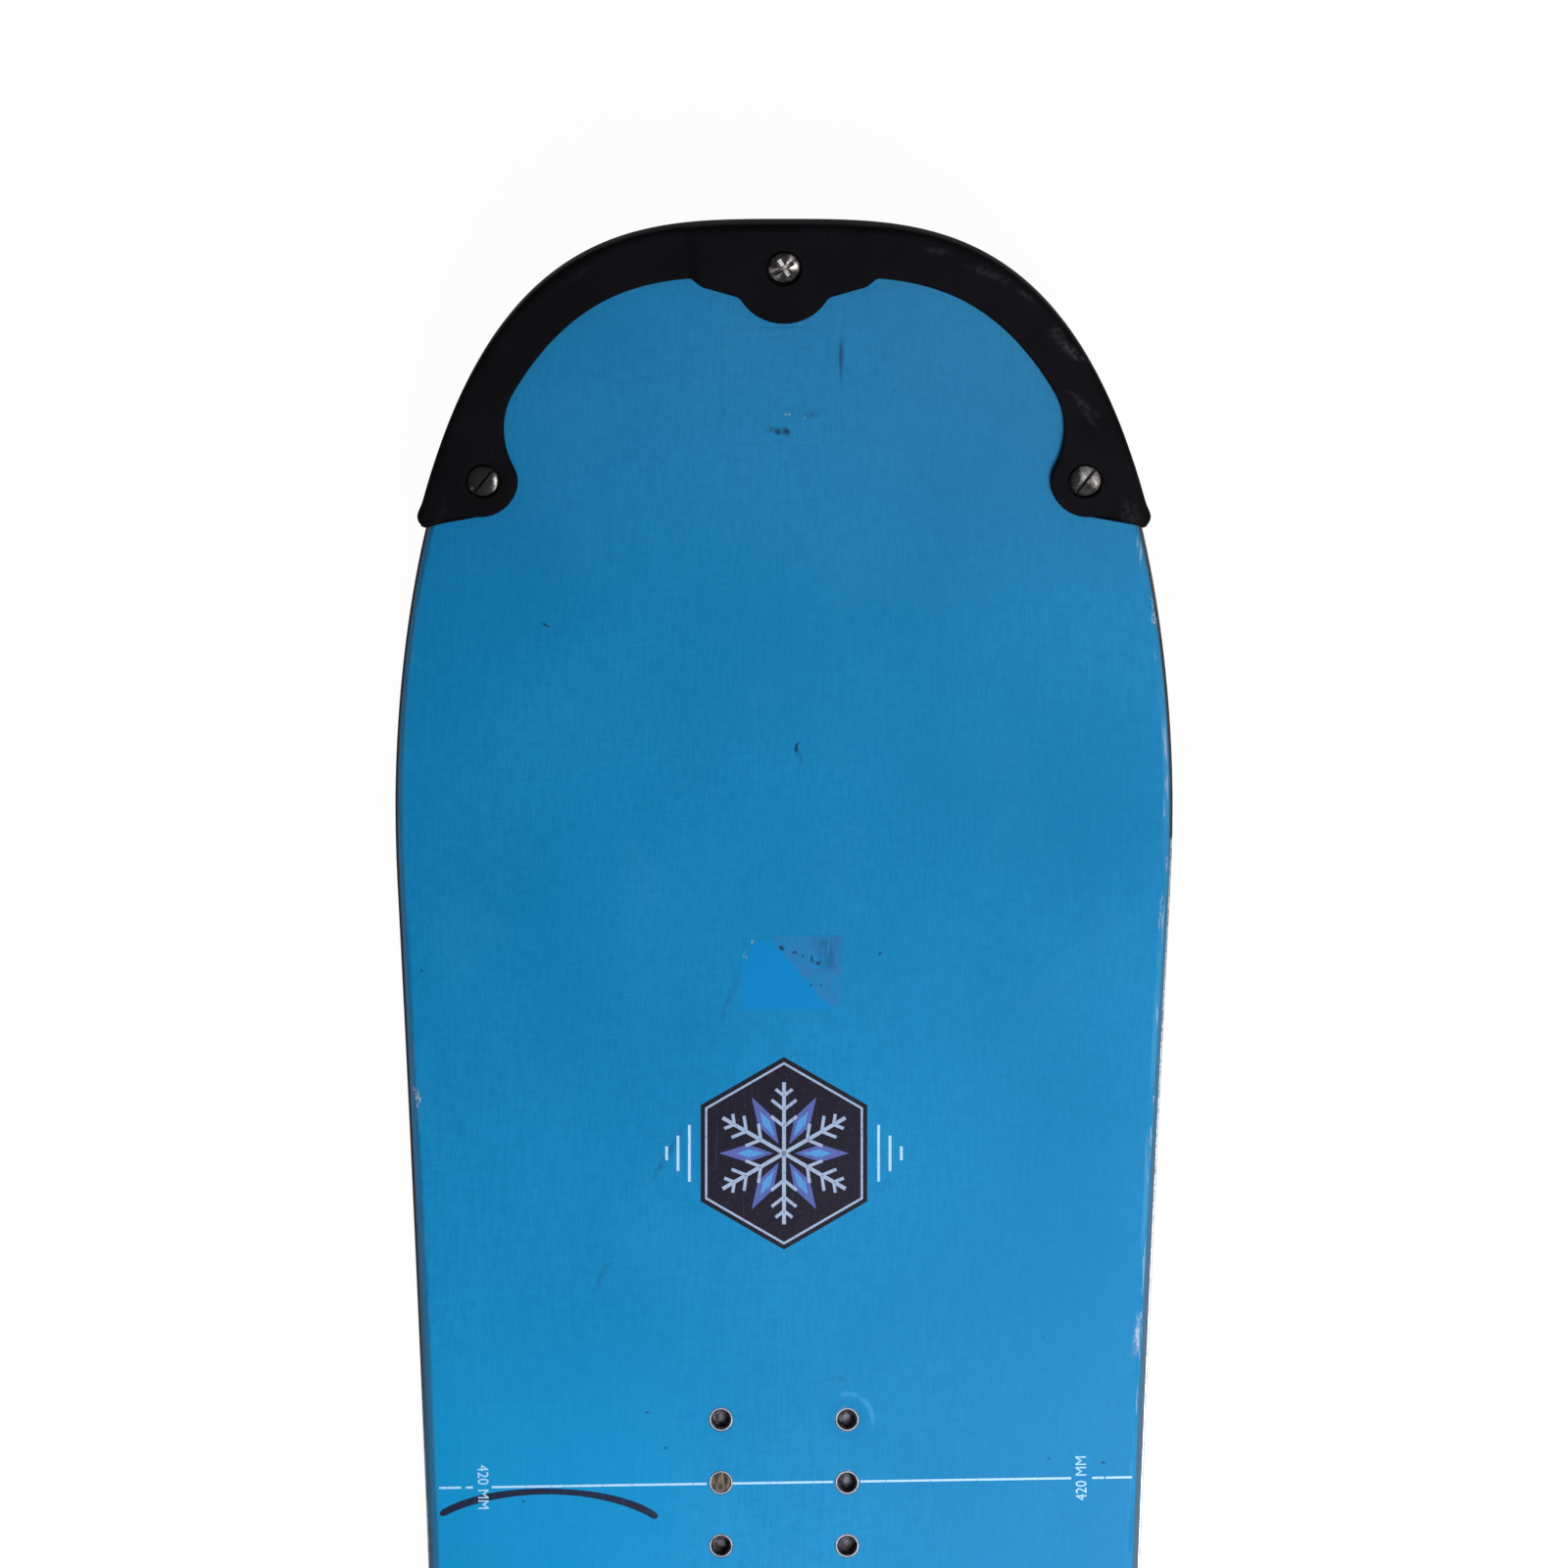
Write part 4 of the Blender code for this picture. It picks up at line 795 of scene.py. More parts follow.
def side_bars(step):
    """Upright bars on both sides of the hexagon, each shorter than the one before."""
    x, half = PLATE * HEXAGON_FLAT + step * BAR_PITCH, BAR_HALF - BAR_FALL * step
    return strips([(side * x, CRYSTAL[1] - half, side * x, CRYSTAL[1] + half) for side in (-1, 1)], BAR_WIDTH)


for part, outlines, layer, name in (
    ("plate", hexagon(PLATE), 1, "navy"), ("border", hexagon_line(), 2, "frost"),
    ("petals", kites(0.0034, 0.0118, 0.0205, 0.24, np.pi / 6), 2, "lavender"),
    ("petal_hearts", kites(0.006, 0.0112, 0.0152, 0.12, np.pi / 6), 3, "sky"),
):
    make_piece(f"crystal_{part}", slab(outlines, layer * INK), inks[name])
TWIGS = [(0.0085, 0.0052), (0.0138, 0.005), (0.0182, 0.0034)]
arms = [slab(spokes(0, ARM, ARM_WIDTH), 3 * INK)]
arms += [slab(spokes(*twig, TWIG_WIDTH, (-TWIG_TURN, TWIG_TURN)), 4 * INK) for twig in TWIGS]
make_piece("crystal_arms", gather(arms), inks["frost"])
make_piece("crystal_bars", gather([slab(side_bars(step)) for step in (1, 2, 3)]), inks["pale"])
print("hexagon across its corners: %.1f mm" % (2000 * PLATE))

# %% Marker stroke beside each foot
STROKE_CENTRE, STROKE_RADII, STROKE_TURN = (-0.0752, 0.1912), (0.04, 0.016), (0.82 * np.pi, 0.16 * np.pi)
STROKE_HALF, STROKE_GROWS, STROKE_SWELL, STROKE_WAVES = 0.00105, 0.02, 0.12, 9


def marker_stroke(end):
    """Hand-drawn arch: part of an ellipse, with a half width that grows in at both ends and swells a
    little with the speed of the hand."""
    turn = np.linspace(*STROKE_TURN, 90)
    line = polar(1, turn) * STROKE_RADII + STROKE_CENTRE
    along = np.gradient(line, axis=0)
    aside = np.stack([-along[:, 1], along[:, 0]], axis=1) / np.linalg.norm(along, axis=1)[:, None]
    share = np.linspace(0, 1, len(turn))
    half = STROKE_HALF * np.clip(np.minimum(share, 1 - share) / STROKE_GROWS, 0.1, 1) ** 0.5
    half = (half * (1 + STROKE_SWELL * np.sin(STROKE_WAVES * share)))[:, None]
    corners = [(line + side * half * aside, lift) for side, lift in ((-1, -INK), (1, -INK), (1, INK), (-1, INK))]
    return loft(np.stack([on_top(end * c[:, 0], end * c[:, 1], lift) for c, lift in corners], axis=1), ends=True)


for foot, end in FEET:
    make_piece(f"{foot}_marker_stroke", marker_stroke(end), inks["marker"])
print("a marker stroke beside each foot")

# %% [markdown]
# ## Steel edges
# A hardened steel bar runs round the board at base level. On its inner side it has small teeth, which the
# glass and the resin lock to the base. The bar is a loft of a rounded square, and each tooth a short
# block between two places of the edge. Its lower outer corner is ground, and rust starts where snow melts
# on it. Round the tips and along the left it is painted nearly black, as shade.

# %% Bars with anchor teeth
EDGE_SIZE, ROUND_OFF, END_ROOM = 0.0018, 0.0002, 0.00015
TOOTH_REACH, TOOTH_LOW, TOOTH_ROOT, TOOTH_LENGTH, TOOTH_PITCH = 0.0042, 0.0014, 0.0001, 0.0072, 0.0115
FIRST_TOOTH, LAST_TOOTH = 0.012, 0.019
edge_run = run_of(*EDGE[:2])


def at_run(run):
    """x, u and normals of the edge at distances along it from the tail's end."""
    return np.stack([np.interp(run, edge_run, line) for line in EDGE])


def along_edge(place, section, side):
    """Grid of (inset, level) sections carried along the edge, on one side of the board."""
    inset, level = np.array(section).T
    x, u = inward(place, inset)
    return bend(side * x, u, level + 0 * u)


def steel_edge(side):
    runs = edge_run.copy()
    runs[0], runs[-1] = END_ROOM, edge_run[-1] - END_ROOM
    size, flat = EDGE_SIZE, EDGE_SIZE - ROUND_OFF
    section = [(ROUND_OFF, 0), (size, 0), (size, size), (ROUND_OFF, size), (0, flat), (0, ROUND_OFF)]
    bar = loft(along_edge(at_run(runs), section, side), ends=True)
    starts = np.arange(FIRST_TOOTH, edge_run[-1] - LAST_TOOTH, TOOTH_PITCH)
    root, tip = size - TOOTH_ROOT, size + TOOTH_REACH
    tooth = [(root, TOOTH_LOW), (tip, TOOTH_LOW), (tip, size), (root, size)]
    near, far = (along_edge(at_run(starts + step), tooth, side) for step in (0, TOOTH_LENGTH))
    teeth = [loft(np.stack([a, b]), ends=True) for a, b in zip(near, far)]
    return gather([bar, *teeth])


steel = Finish("edge_steel_ground", (150, 156, 164), 0.3, 1)
grind = steel.noise((500, 900, 2500), 2)
rust = steel.noise(70, 4).ramp(0.58, 0.7) * steel.noise(900, 2).ramp(0.42, 0.6)
aside, along, _ = steel.split(steel.place)
# Painted shade: the steel is made nearly black and not metallic round the tips and along the left.
shaded_band = abs(along).ramp(0.4135, 0.4145).most(aside.ramp(0.02, -0.02) * abs(along).ramp(0.19, 0.27))
steel.tint(steel.mix((132, 140, 150), (184, 188, 192), grind.ramp(0.3, 0.7)))
steel.tint((104, 70, 50), rust * 0.6)
steel.tint((12, 12, 15), shaded_band)
steel.put("Metallic", (1 - rust * 0.75) * (1 - shaded_band))
steel.put("Roughness", 0.26 + grind * 0.16 + rust * 0.4)
steel.put("Normal", steel.bump(grind, 0.00002))

for name, side in (("left", -1), ("right", 1)):
    made = make_piece(f"steel_edge_{name}_bar", steel_edge(side), steel, [f"steel_edge_{name}"], sharp=30)
    print(made.name, "faces:", len(made.data.polygons))

# %% [markdown]
# ## Running base
# The base is black sintered polyethylene. A stone wheel grinds fine lines along it, which carry water
# away, and rocks leave long pale scratches. It is a flat plate, bent with the rest, with six round holes
# for the nuts of the guards.

# %% Base plate with ground lines
BASE_THICKNESS, BASE_INSET, BASE_COLUMNS = 0.0011, 0.0021, 11
inset = np.full((EDGE.shape[1], 1), BASE_INSET)
plate = closed_sheet((inset, 0 * inset), (inset, 0 * inset + BASE_THICKNESS), BASE_COLUMNS)

black = Finish("base_sintered", (26, 27, 30), 0.42, specular=0.45)
lines = black.noise((2600, 14, 14), 2)
scratch = black.noise((900, 5, 5), 1, 0.05).ramp(0.7, 0.74)
scratch = scratch.most(black.noise((700, 8, 8), 1, -0.22).ramp(0.72, 0.75)) * black.noise(6).ramp(0.42, 0.6)
wax = black.noise((40, 12, 12), 4).ramp(0.45, 0.7)
black.tint(black.mix((20, 21, 24), (40, 41, 44), lines.ramp(0.35, 0.7) * 0.6 + wax * 0.3))
black.tint((108, 108, 110), scratch * 0.6)
black.put("Roughness", 0.34 + lines * 0.15 + wax * 0.12)
black.put("Normal", black.bump(scratch, -0.00008, black.bump(lines, 0.00004)))
base = make_piece("running_base", loft(plate), black, ["base_sheet"])
print("base faces:", len(base.data.polygons))

# %% [markdown]
# ## Guard over each tip
# The guard is a moulded elastomer cap: a wall outside the edge, a rounded shoulder and a flange on top,
# whose inner edge swells into a lobe round each side screw and into a wide plate and boss at the centre.
# It is lofted along the tip from its end to the centre line and mirrored. The inner edge is laid out as
# arcs in (run, inset): run along the outline from the guard's end, inset from it.

# %% Inner edge of the guard
GUARD_RUN, BAND_AT_LOBE, BAND_AT_WING = 0.1655, 0.0114, 0.0137
LOBE_RADIUS, LOBE_FILLET, LOBE_WRAP, LOBE_STRETCH = 0.011, 0.034, math.radians(17), 0.15
SIDE_SCREW, CENTRE_SCREW_INSET = (0.0204, 0.0134), 0.011
WING_HALF, WING_SLOPE, WING_INSET, WING_DEPTH, WING_RISE = 0.027, 0.0036, 0.0168, 0.0209, 0.0007
BOSS_RADIUS, BOSS_REACH = 0.0161, 0.0294
MOULD_REACH, MOULD_SPACING, MOULD_ROWS = 0.0009, 0.0001, 0.0009


def moulded(path):
    """A path with its corners rounded as in a mould: resampled evenly, each point replaced by the mean
    of its neighbours within MOULD_REACH, and thinned out again to rows MOULD_ROWS apart."""
    reach, spacing = MOULD_REACH, MOULD_SPACING
    run = run_of(*path.T)
    even = np.arange(-reach, run[-1] + reach, spacing)
    mirrored = np.abs(run[-1] - np.abs(run[-1] - np.abs(even)))
    dense = np.stack([np.interp(mirrored, run, line) for line in path.T], axis=1)
    dense[even < 0] = 2 * path[0] - dense[even < 0]
    dense[even > run[-1], 0] = 2 * path[-1, 0] - dense[even > run[-1], 0]
    window = np.ones(2 * round(reach / spacing) + 1)
    smooth = np.stack([np.convolve(line, window / window.size, "valid") for line in dense.T], axis=1)
    rows = np.round(np.linspace(0, len(smooth) - 1, round(run[-1] / MOULD_ROWS))).astype(int)
    return np.concatenate([path[:1], smooth[rows[1:-1]], path[-1:] * (1, 0) + smooth[-1:] * (0, 1)])


def guard_inner_edge():
    """(run, inset) of the inner edge, and the run of the outline point that faces each: lobe, fillet,
    band, slope of the wing and boss, each tangent to the last."""
    lobe = np.array(SIDE_SCREW)
    tangent = math.atan2(-lobe[1], -lobe[0]) - math.acos(LOBE_RADIUS / math.hypot(*lobe)) + 2 * math.pi
    fillet_inset = BAND_AT_LOBE + LOBE_FILLET
    fillet_run = lobe[0] + math.sqrt((LOBE_RADIUS + LOBE_FILLET) ** 2 - (fillet_inset - lobe[1]) ** 2)
    toward = math.atan2(fillet_inset - lobe[1], fillet_run - lobe[0])
    lobe_arc = polar(LOBE_RADIUS, np.linspace(tangent + LOBE_WRAP, toward, 46), lobe)
    lobe_arc[:, 0] -= LOBE_STRETCH * np.clip(lobe[0] - lobe_arc[:, 0], 0, None)
    fillet = polar(LOBE_FILLET, np.linspace(toward + math.pi, 1.5 * math.pi, 18), (fillet_run, fillet_inset))
    near = np.concatenate([lobe_arc, fillet[1:]])
    near_run = run_of(*near.T)
    wing = GUARD_RUN - WING_HALF
    band_run = np.linspace(fillet_run, wing - WING_SLOPE, 44)[1:]
    band = np.stack([band_run, np.interp(band_run, band_run[[0, -1]], (BAND_AT_LOBE, BAND_AT_WING))], axis=1)
    boss = (GUARD_RUN, BOSS_REACH - BOSS_RADIUS)
    from_wing = math.pi - math.asin((WING_DEPTH - boss[1]) / BOSS_RADIUS)
    boss_arc = polar(BOSS_RADIUS, np.linspace(from_wing, math.pi / 2, 26), boss)
    wing_edge = moulded(np.concatenate([band[-2:], [(wing, WING_INSET)], boss_arc]))
    inner = np.concatenate([near, band[:-2], wing_edge])
    outer = np.concatenate([near_run / near_run[-1] * fillet_run, inner[len(near):, 0]])
    return inner, outer


inner_edge, facing = guard_inner_edge()
print("guard rows in each half:", len(facing))

# %% Sections of the guard
WALL, FIT, FLANGE, GAP, GROUND = 0.00244, 0.0005, 0.0025, 0.0003, 0.0007
SHOULDER, INNER_ROUND, CORNER, END_ROUND, END_SWEEP = 0.0023, 0.001, 0.003, 0.0008, 0.0019
RISE_LENGTH, FLARE, FLARE_RUN, FLARE_WIDTH, SWEEP_RUN = 0.003, 0.0005, 0.0036, 0.0026, 0.012
UNDERSIDE, PULL_MOST, TINY = TIP_HEIGHT + GAP, 0.6 * WALL, 1e-9
LIP, LIP_RISE = 0.0005, 0.0008


def nose_at(run):
    """x, u and normals of the nose's edge at a run from the guard's end."""
    from_contact = np.clip(NOSE[4, -1] - GUARD_RUN + run, 0, NOSE[4, -1])
    return [np.interp(from_contact, NOSE[4], line) for line in NOSE[:4]]


def rounding(run, radius):
    """How far a round corner draws back at a run from the end: r - sqrt(r^2 - rest^2), where the rest
    is never quite r, so that no face closes up."""
    return radius - np.sqrt(radius**2 - np.clip(radius - run - TINY, 0, radius) ** 2)


def guard_shape(end):
    """Loft of the flat (x, u, h) grid of the right half and its mirror image. Outside the outline a
    point goes out along the normal; inside, it goes along the line from the outline to the inner edge,
    swept a little at the end."""
    x, u, nx, nu = nose_at(facing)
    ix, iu, inx, inu = nose_at(inner_edge[:, 0])
    ix, iu = ix - inner_edge[:, 1] * inx, iu - inner_edge[:, 1] * inu
    depth = np.hypot(ix - x, iu - u)
    flare = FLARE * np.exp(-(((facing - FLARE_RUN) / FLARE_WIDTH) ** 2))
    face = -(FIT + WALL) + np.minimum(rounding(facing, CORNER), PULL_MOST) - flare
    rise = WING_RISE * np.clip((inner_edge[:, 0] - (GUARD_RUN - WING_HALF - WING_SLOPE)) / RISE_LENGTH, 0, 1)
    top = UNDERSIDE + FLANGE + rise - rounding(facing, END_ROUND)
    quarter = np.linspace(0, np.pi / 2, 6)
    columns = [(face + LIP, GROUND), (face, GROUND + LIP_RISE)]
    columns += [(face + SHOULDER * (1 - np.cos(a)), top - SHOULDER * (1 - np.sin(a))) for a in quarter]
    start = face + SHOULDER
    columns += [(start + (depth - INNER_ROUND - start) * s, top) for s in np.linspace(0, 1, 11)[1:-1]]
    columns += [(depth - INNER_ROUND * (1 - np.sin(a)), top - INNER_ROUND * (1 - np.cos(a))) for a in quarter]
    columns += [(depth, UNDERSIDE), (depth / 2, UNDERSIDE), (-FIT, UNDERSIDE), (-FIT, GROUND)]
    inset, level = (np.stack([column[k] + 0 * face for column in columns], axis=1) for k in (0, 1))
    share, out = np.clip(inset / depth[:, None], 0, 1), np.minimum(inset, 0)
    sweep = END_SWEEP * np.sin(np.pi * share) * np.clip(1 - facing / SWEEP_RUN, 0, 1)[:, None] ** 2
    grid_x = x[:, None] + (ix - x)[:, None] * share - out * nx[:, None] - sweep * nu[:, None]
    grid_u = u[:, None] + (iu - u)[:, None] * share - out * nu[:, None] + sweep * nx[:, None]
    halves = (-grid_x, grid_x), (end * grid_u, end * grid_u), (level, level)
    return loft(bend(*[np.concatenate([left, right[-2::-1]]) for left, right in halves]), ends=True)


print("guard top over the base: %.1f mm" % (1000 * (UNDERSIDE + FLANGE)))

# %% [markdown]
# The elastomer is black with a fine eroded grain from the mould, a soft sheen and pale scuffs where the
# tip met rails and rocks. The grain is bump only, since it is far finer than the eye can tell.

# %% Black elastomer
rubber = Finish("guard_elastomer_grained", (9, 9, 12), 0.5, specular=0.015)
grain = rubber.noise(2600, 2)
waves = rubber.noise(60, 3)
frayed = rubber.shifted(0.0022, 420)
SCUFFS = [
    (63.5, 589.2, 5.5, 0.8, -19, 0.55), (74.9, 582.8, 2.6, 0.7, -35, 0.55), (85.3, 572.1, 1.7, 0.7, -35, 0.65),
    (88.4, 567.5, 5, 0.9, -38, 0.9), (90.2, 565, 3.4, 0.6, -20, 0.6), (93.9, 550.1, 4.8, 0.8, -38, 0.55),
    (95, 546.5, 3.2, 0.6, -50, 0.45), (47.4, 596, 3.2, 0.7, -10, 0.4), (109, 516, 2.2, 4.6, 12, 0.35),
    (-28, 604, 3.5, 0.9, 5, 0.25), (-64, 589, 4, 0.8, 30, 0.15), (-108, 516, 1.2, 4.5, -15, 0.15),
    (70, -583, 6.5, 1.1, 34, 0.6), (-30, -599, 6, 1, -11, 0.5),
]
scuffs = rubber.marks(SCUFFS, 0.9, frayed) * rubber.noise(700, 4).ramp(0.3, 0.66)
scored = rubber.noise((900, 40, 60), 1, 0.9).ramp(0.7, 0.75) * waves.ramp(0.5, 0.62)
aside = rubber.split(rubber.place)[0]
# Paler on the right: partly dust and partly a painted sheen.
dust_and_sheen = aside.ramp(0.02, 0.1) * (0.35 + waves.ramp(0.3, 0.7) * 0.65)
rubber.tint(rubber.mix((15, 15, 18), (19, 19, 23), waves.ramp(0.35, 0.7)))
rubber.tint((34, 33, 38), dust_and_sheen * 0.18)
rubber.tint((48, 46, 50), scored * 0.2)
rubber.tint((84, 82, 86), scuffs * 0.5)
rubber.put("Roughness", 0.48 + waves * 0.14 + grain * 0.06 + scuffs * 0.15)
rubber.put("Normal", rubber.bump(grain, 0.00005, rubber.bump(waves, 0.00025)))
print("elastomer finish with", len(SCUFFS), "scuffs")

# %% Guard holes and fastener places
HEAD_RADIUS, HEAD_SIDE, HEAD_DOME, SHANK, HEAD_ROOM = 0.0048, 0.0007, 0.0008, 0.002, 0.0005
FLOOR, HOLE_END, BELOW = UNDERSIDE + 0.0012, 0.016, 0.001
SEAT = FLOOR + GAP
TIPS = {"nose": 1, "tail": -1}


def screw_places(end):
    x, u, nx, nu = nose_at(SIDE_SCREW[0])
    x, u = float(x - SIDE_SCREW[1] * nx), end * float(u - SIDE_SCREW[1] * nu)
    return {"left": (-x, u), "right": (x, u), "centre": (0, end * (CONTACT + TIP_LENGTH - CENTRE_SCREW_INSET))}


fasteners = {
    (tip, place): bent_frame(*spot) for tip, end in TIPS.items() for place, spot in screw_places(end).items()
}
bore = HEAD_RADIUS + HEAD_ROOM
rim = bore + HEAD_ROOM
screw_hole = [(0, UNDERSIDE - BELOW), (SHANK + GAP, UNDERSIDE - BELOW), (SHANK + GAP, FLOOR), (bore, FLOOR),
              (bore, UNDERSIDE + 0.0021), (bore + 0.00012, UNDERSIDE + 0.0023), (rim, UNDERSIDE + 0.0026),
              (rim, HOLE_END), (0, HOLE_END)]
nut_hole = [(0, -BELOW), (0.0051, -BELOW), (0.0051, 0.0014), (0, 0.0014)]
for tip, end in TIPS.items():
    guard = make_piece(f"{tip}_guard_cap", guard_shape(end), rubber, [f"{tip}_guard"], sharp=50)
    places = [here for (where, _), here in fasteners.items() if where == tip]
    drill(guard, [turned(screw_hole, here, HOLE_SEGMENTS) for here in places], sharp=50)
    print(guard.name, "faces:", len(guard.data.polygons))
drill(base, [turned(nut_hole, here, HOLE_SEGMENTS) for here in fasteners.values()])

# %% [markdown]
# ## Screws and nuts
# Pan-head screws go down into sleeve nuts, whose flat heads lie flush in the base. The side screws have a
# slot and the centre one a cross, and each is a solid of revolution with its recess cut by a tool. Zinc
# plating dulls unevenly; dirt and painted shade darken the heads, and each recess is painted dark as shade.

# %% Zinc plating
def plated(name, colour, patina, dirt, dirt_and_shade_mask, metallic=1, rough=0.26):
    """Zinc plating: bright metal under a cloudy grey film, rougher where the film is thick. The mask that
    is passed in says where grime and painted shade, of the given dark colour, darken and dull it."""
    made = Finish(name, colour, rough, metallic, specular=0.2)
    film_mask = made.noise(420, 4).ramp(0.48, 0.66)
    turned_lines = made.noise((2500, 2500, 400), 2)
    grime_and_shade = dirt_and_shade_mask(made)
    made.tint(patina, film_mask * 0.7)
    made.tint(dirt, grime_and_shade)
    made.put("Metallic", metallic - grime_and_shade * metallic)
    made.put("Roughness", rough + film_mask * 0.14 + turned_lines * 0.1 + grime_and_shade * 0.2)
    made.put("Normal", made.bump(turned_lines, 0.00003))
    return made


def laid_grime_and_shade(finish):
    """Grime and painted shade as laid on the points of a head or nut, with its border broken up by noise."""
    laid = finish.laid("grime_and_shade")
    return (laid + (finish.noise(900, 3) - 0.5) * 0.5 * laid.ramp(0.02, 0.2)).ramp(0.12, 0.78)


def lay_grime_and_shade(piece, place, dirt):
    """Put dirt(x, y, z), which holds grime and painted shade, on each point as an attribute; x, y and z are
    the point's place in the frame of the screw, (p - t) R."""
    points = np.empty(3 * len(piece.data.vertices))
    piece.data.vertices.foreach_get("co", points)
    matrix = np.array(place)
    values = dirt(*((points.reshape(-1, 3) - matrix[:3, 3]) @ matrix[:3, :3]).T).astype(np.float32)
    piece.data.attributes.new("grime_and_shade", "FLOAT", "POINT").data.foreach_set("value", values)


# The dark colour stands for dirt and for painted shade and dark reflections on heads and nuts.
zinc = plated("zinc_plating", (188, 181, 180), (116, 108, 88), (24, 22, 24), laid_grime_and_shade)
print("zinc plating ready")

# %% Screw profile and recesses
SCREW_END, HEAD_CHAMFER = 0.0015, 0.0002


def box_tool(length, width, low, high, place, taper=1):
    """Slot tool: an outline at two heights, smaller by the taper at the lower one."""
    corners = np.array([(-length, -width), (length, -width), (length, width), (-length, width)]) / 2
    rings = [np.c_[corners * scale, np.full(4, level)] for scale, level in ((taper, low), (1, high))]
    return loft(moved(np.stack(rings), place), ends=True)


head_side = SEAT + HEAD_SIDE
crown = head_side + HEAD_DOME
rising = np.linspace(0, np.pi / 2, 15)[:-1]
dome = [(HEAD_RADIUS * math.cos(a) ** 0.75, head_side + HEAD_DOME * math.sin(a)) for a in rising]
screw_profile = [(0, SCREW_END), (SHANK, SCREW_END), (SHANK, SEAT), (HEAD_RADIUS - HEAD_CHAMFER, SEAT)]
screw_profile += [(HEAD_RADIUS, SEAT + HEAD_CHAMFER), *dome, (0, crown)]
SLOT_TURN, CROSS_TURN, OVER = math.radians(51), math.radians(31), 0.001
# length, width, depth, taper and turn of a recess, and how many cuts it has
SLOT, CROSS = (0.012, 0.001, 0.0011, 1, SLOT_TURN, 1), (0.0082, 0.0018, 0.0008, 0.72, CROSS_TURN, 2)
print("screw head: %.1f mm across" % (2000 * HEAD_RADIUS))

# %% Dirt and painted shade on the heads
# The dark parts of a head are dirt and painted shade, which stands for dark reflections; where most is
# negative, the bells take it away and leave bright metal. Base value, what the bells add at most, and each
# bell: strength, middle and width in degrees, and the radii between which it comes in (two equal ones are
# a step).
HEAD_DIRT_AND_SHADE = {
    "left": (1.05, -0.85, [(0.8, 0, 46, 0.0022, 0.0044), (0.22, -20, 50, 0, 0), (0.55, 214, 12, 0.0036, 0.0036)]),
    "right": (0.46, 1, [(0.75, 165, 40, 0.001, 0.0036), (0.4, 245, 26, 0, 0), (0.35, 300, 30, 0, 0)]),
    "centre": (0.74, -0.5, [(1, 8, 17, 0, 0), (1, 54, 11, 0, 0), (0.9, 192, 11, 0, 0), (0.5, 232, 16, 0, 0)]),
}
# Painted shade in the recess of the cross: a share in both arms and more in one.
ARM_SHADE, DARK_ARM_SHADE, ARM_HALF, ARM_START = 0.38, 0.5, 0.001, 0.0015
DOME_POWER, BELOW_DOME, ABOVE_SEAT = 2.67, 0.00014, 0.00025


def in_recess(x, y, z):
    """1 for points below the dome but above the underside of the head: the recess, painted dark as shade."""
    dome_here = head_side + HEAD_DOME * np.sqrt(np.clip(1 - (np.hypot(x, y) / HEAD_RADIUS) ** DOME_POWER, 0, 1))
    return ((z < dome_here - BELOW_DOME) & (z > SEAT + ABOVE_SEAT)) * 1


def lobe(angle, middle, width):
    """Bell of 0 to 1 about an angle in degrees."""
    return np.exp(-((((np.degrees(angle) - middle + 180) % 360 - 180) / width) ** 2))


def head_dirt_and_shade(place):
    """Dirt and painted shade of one screw as a function of x, y and z: the base value plus most times the sum
    of the bells, and full painted shade in a slot. Both arms of the cross are painted dark as shade, one darker."""
    base_value, most, bells = HEAD_DIRT_AND_SHADE[place]

    def dirt(x, y, z):
        angle, radius, recess = np.arctan2(y, x), np.hypot(x, y), in_recess(x, y, z)
        laid = sum(strength * lobe(angle, middle, width) * np.interp(radius, (start, full), (0, 1))
                   for strength, middle, width, start, full in bells)
        face = base_value + most * laid.clip(0, 1)
        if place != "centre":
            return np.maximum(recess, face)
        across = np.abs(y * math.cos(CROSS_TURN) - x * math.sin(CROSS_TURN))
        arm = ARM_SHADE + DARK_ARM_SHADE * (across < ARM_HALF) * (radius > ARM_START)
        return np.where(recess > 0, arm, face)

    return dirt


print("dirt laid out for the heads:", ", ".join(HEAD_DIRT_AND_SHADE))

# %% Screws from above
for (tip, place), here in fasteners.items():
    name = f"{tip}_guard_screw_{place}"
    screw = make_piece(f"{name}_head", turned(screw_profile, here), zinc, [name], sharp=35)
    length, width, depth, taper, turn, cuts = CROSS if place == "centre" else SLOT
    for cut in range(cuts):
        at = here @ Matrix.Rotation(TIPS[tip] * turn + cut * math.pi / 2, 4, "Z")
        drill(screw, [box_tool(length, width, crown - depth, crown + OVER, at, taper)], sharp=35)
    lay_grime_and_shade(screw, here, head_dirt_and_shade(place))
print("screws with slot or cross recess:", len(fasteners))

# %% Sleeve nuts from below
nut_profile = [(0, 0.0001), (0.0047, 0.0001), (0.005, 0.0003), (0.005, 0.0011), (0.0028, 0.0011), (0.0028, 0.0053),
               (0.0023, 0.0053), (0.0023, 0.0009), (0, 0.0009)]
NUT_SLOT, NUT_SLOT_TURN = (0.012, 0.0011, -0.001, 0.0006), 0.7
